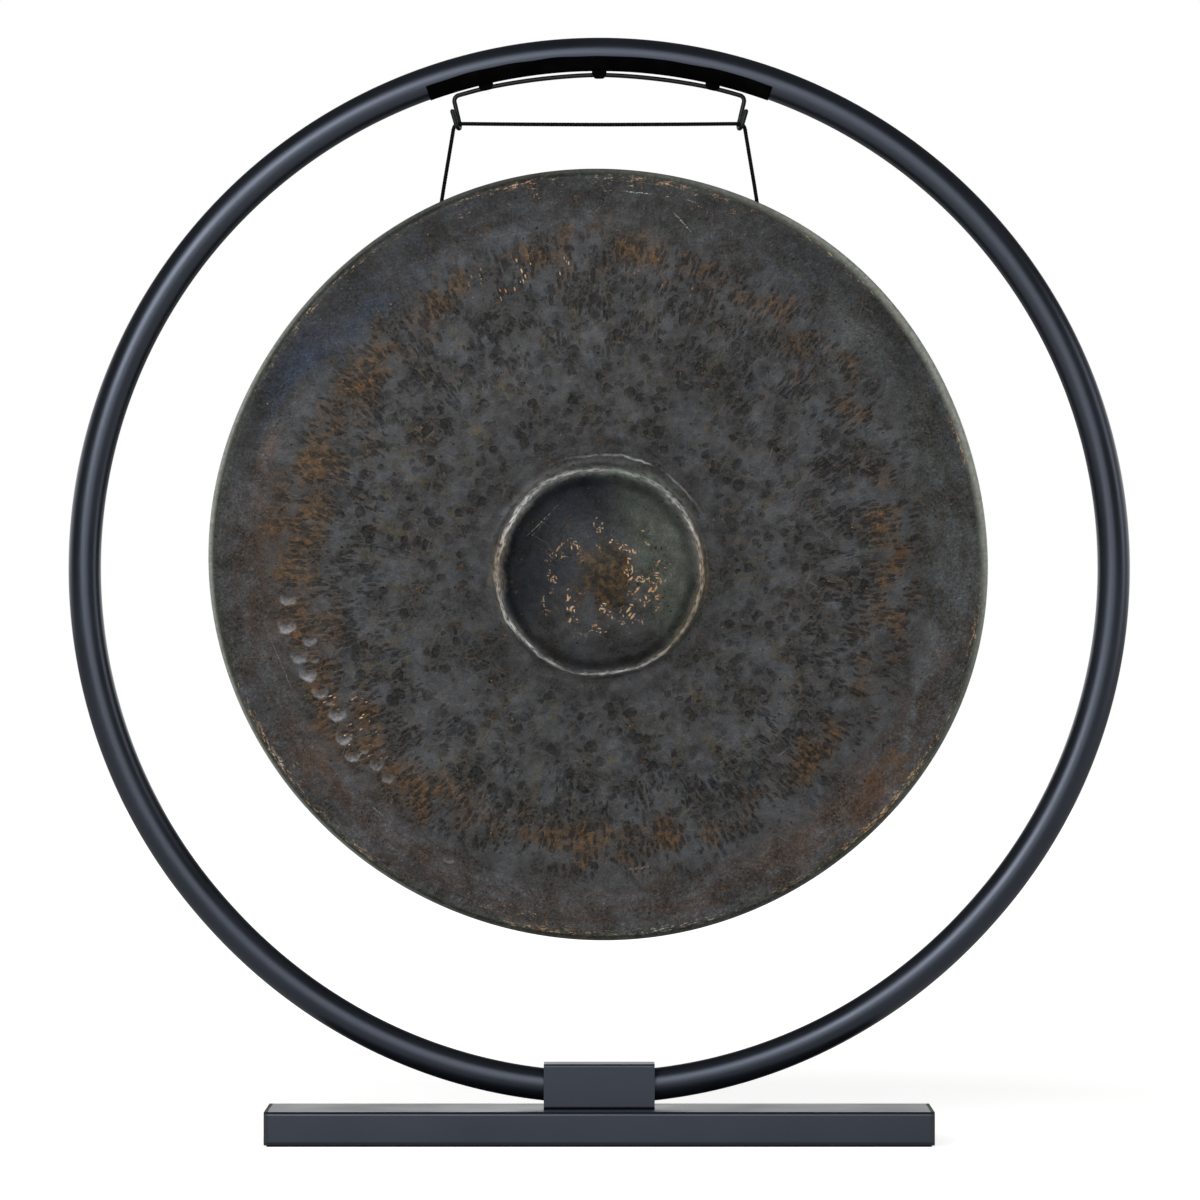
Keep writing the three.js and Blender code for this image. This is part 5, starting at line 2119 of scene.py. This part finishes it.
    def drill(self, bowl: Object) -> None:
        """Cuts the two holes through the rim, along the cord's legs.

        Args:
            bowl: the gong's piece.
        """
        for side in (-1, 1):
            way = unit(np.array([side * self.leg_way[0], 0, self.leg_way[1]])) * self.drill_reach
            middle = np.array([side * self.hole_x, self.hole_y, self.hole_z])
            path = np.array([middle - way, middle + way]) * MM
            body = carried(path, FRONT, ring(self.hole_diameter / 2 * MM, 24))
            cutter = Surface(rounded_tips(body, path), poles=True).build("rim_drill")
            hole = bowl.modifiers.new("rim hole", "BOOLEAN")
            hole.operation = "DIFFERENCE"
            hole.solver = "EXACT"
            hole.object = cutter
            applied = bpy.data.meshes.new_from_object(
                bowl.evaluated_get(bpy.context.evaluated_depsgraph_get())
            )
            bowl.modifiers.clear()
            bowl.data = applied
            bpy.data.objects.remove(cutter)


# The studio


@dataclass(frozen=True)
class Softbox:
    """A rectangular lamp: where it hangs, seen from the gong's middle, and its face's radiance."""

    name: str
    azimuth_deg: float
    elevation_deg: float
    distance: float
    width: float
    height: float
    radiance: float

    def build(self, target: Vector) -> None:
        """Hangs the lamp, turned to the target.

        Args:
            target: the point that it looks at.
        """
        turn, rise = math.radians(self.azimuth_deg), math.radians(self.elevation_deg)
        way = Vector((math.sin(turn) * math.cos(rise), -math.cos(turn) * math.cos(rise),
                      math.sin(rise)))
        lamp = bpy.data.lights.new(self.name, "AREA")
        lamp.shape = "RECTANGLE"
        lamp.size, lamp.size_y = self.width, self.height
        lamp.energy = self.radiance * math.pi * self.width * self.height
        obj = bpy.data.objects.new(self.name, lamp)
        obj.location = target + way * self.distance
        obj.rotation_mode = "QUATERNION"
        obj.rotation_quaternion = way.to_track_quat("Z", "Y")
        obj.visible_camera = False
        bpy.context.scene.collection.objects.link(obj)


@dataclass
class Studio:
    """Floor, background, lamps and camera."""

    target: tuple[float, float, float] = (0.0, 0.0, 0.45)
    camera_place: tuple[float, float, float] = (0.0006, -5.6, 0.4237)
    lens_mm: float = 215.0
    sensor_mm: float = 36.0
    floor_half: float = 9.0
    floor_colour: str = "#e4e4e2"
    glow_reach: tuple[float, float] = (0.7, 1.6)
    glow: tuple[float, float] = (0.72, 1.0)
    dim: float = 0.08
    backdrop: float = 1.4
    fill: float = 0.22
    lamps: tuple[Softbox, ...] = (
        Softbox("front", -6, 4, 3.4, 2.6, 2.0, 1.4),
        Softbox("broad", -12, 30, 3.2, 3.6, 1.7, 1.9),
        Softbox("key", -24, 18, 3.0, 1.3, 1.2, 5.2),
        Softbox("side", 76, 10, 2.6, 0.8, 1.6, 2.0),
    )

    def build(self) -> None:
        """Sets the view transform and builds everything."""
        bpy.context.scene.view_settings.view_transform = "Standard"
        self.camera()
        self.world()
        self.floor()
        for lamp in self.lamps:
            lamp.build(Vector(self.target))

    def camera(self) -> None:
        """A level camera in front of the gong's middle, far enough away for a long lens."""
        data = bpy.data.cameras.new("camera")
        data.lens = self.lens_mm
        data.sensor_width = self.sensor_mm
        data.clip_end = 60.0
        obj = bpy.data.objects.new("camera", data)
        obj.location = self.camera_place
        obj.rotation_euler = (math.pi / 2, 0, 0)
        bpy.context.scene.collection.objects.link(obj)
        bpy.context.scene.camera = obj

    def world(self) -> None:
        """White where the camera looks past the object. Glossy rays see a bright strip behind it
        and a dim room elsewhere, so that dark gloss keeps its contrast; the rest see a low fill.
        """
        world = bpy.data.worlds.new("studio")
        world.use_nodes = True
        bpy.context.scene.world = world
        on, background = Patterns(world.node_tree), world.node_tree.nodes["Background"]
        split = on.put(SPLIT, {0: on.put(COORDINATES, out="Generated")}).node
        behind = on.put(RANGE, {0: split.outputs[1], 1: -0.1, 2: 0.5})
        level = on.put(MATH, {0: split.outputs[2]}, operation="ABSOLUTE")
        level = on.put(RANGE, {0: level, 1: 0.36, 2: 0.14})
        behind = on.put(RANGE, {0: on.times(behind, level), 3: self.dim, 4: self.backdrop})
        rays = on.put(RAYS).node
        seen = on.most(rays.outputs["Is Camera Ray"], rays.outputs["Is Transmission Ray"])
        unseen = on.put(MIX, {0: rays.outputs["Is Glossy Ray"], 2: self.fill, 3: behind})
        on.feed(background, {"Color": (1, 1, 1, 1),
                             "Strength": on.put(MIX, {0: seen, 2: unseen, 3: 1.0})})

    def floor(self) -> None:
        """A pale floor that looks white to the camera and keeps the object's shadow."""
        steps = np.linspace(-self.floor_half, self.floor_half, 3)
        x, y = np.meshgrid(steps, steps, indexing="ij")
        points = np.stack([x, y, np.zeros_like(x)], -1)
        floor = Surface(points, closed_columns=False).build("studio_floor")
        material = bpy.data.materials.new("matt white floor paint")
        material.use_nodes = True
        on, shader = Patterns(material.node_tree), material.node_tree.nodes["Principled BSDF"]
        away = on.put(VECTOR, {0: on.put(COORDINATES, out="Object")}, out="Value",
                      operation="LENGTH")
        glow = on.put(RANGE, {0: away, 1: self.glow_reach[0], 2: self.glow_reach[1],
                              3: self.glow[0], 4: self.glow[1]})
        on.feed(shader, {
            "Base Color": linear(self.floor_colour), "Roughness": 0.9, "Specular IOR Level": 0.1,
            "Emission Color": (1, 1, 1, 1),
            "Emission Strength": on.times(on.put(RAYS, out="Is Camera Ray"), glow)})
        dress(floor, material)


def main() -> None:
    """Builds the studio and each sub-assembly in order."""
    logging.basicConfig(level=logging.INFO, format="%(name)s: %(message)s")
    coat, zinc, paint = PowderCoatedSteel(), ZincPlatedSteel(), MattBlackPaint()
    Studio().build()
    HangingCord().build(BraidedCord())
    Hoop().build(coat, zinc)
    Foot().build(coat, MouldedPlastic(), SheetRubber())
    Hanger().build(paint, BlackenedRod())
    Gong().build(PatinatedBronze())
    bpy.context.view_layer.update()


if __name__ == "__main__":
    main()
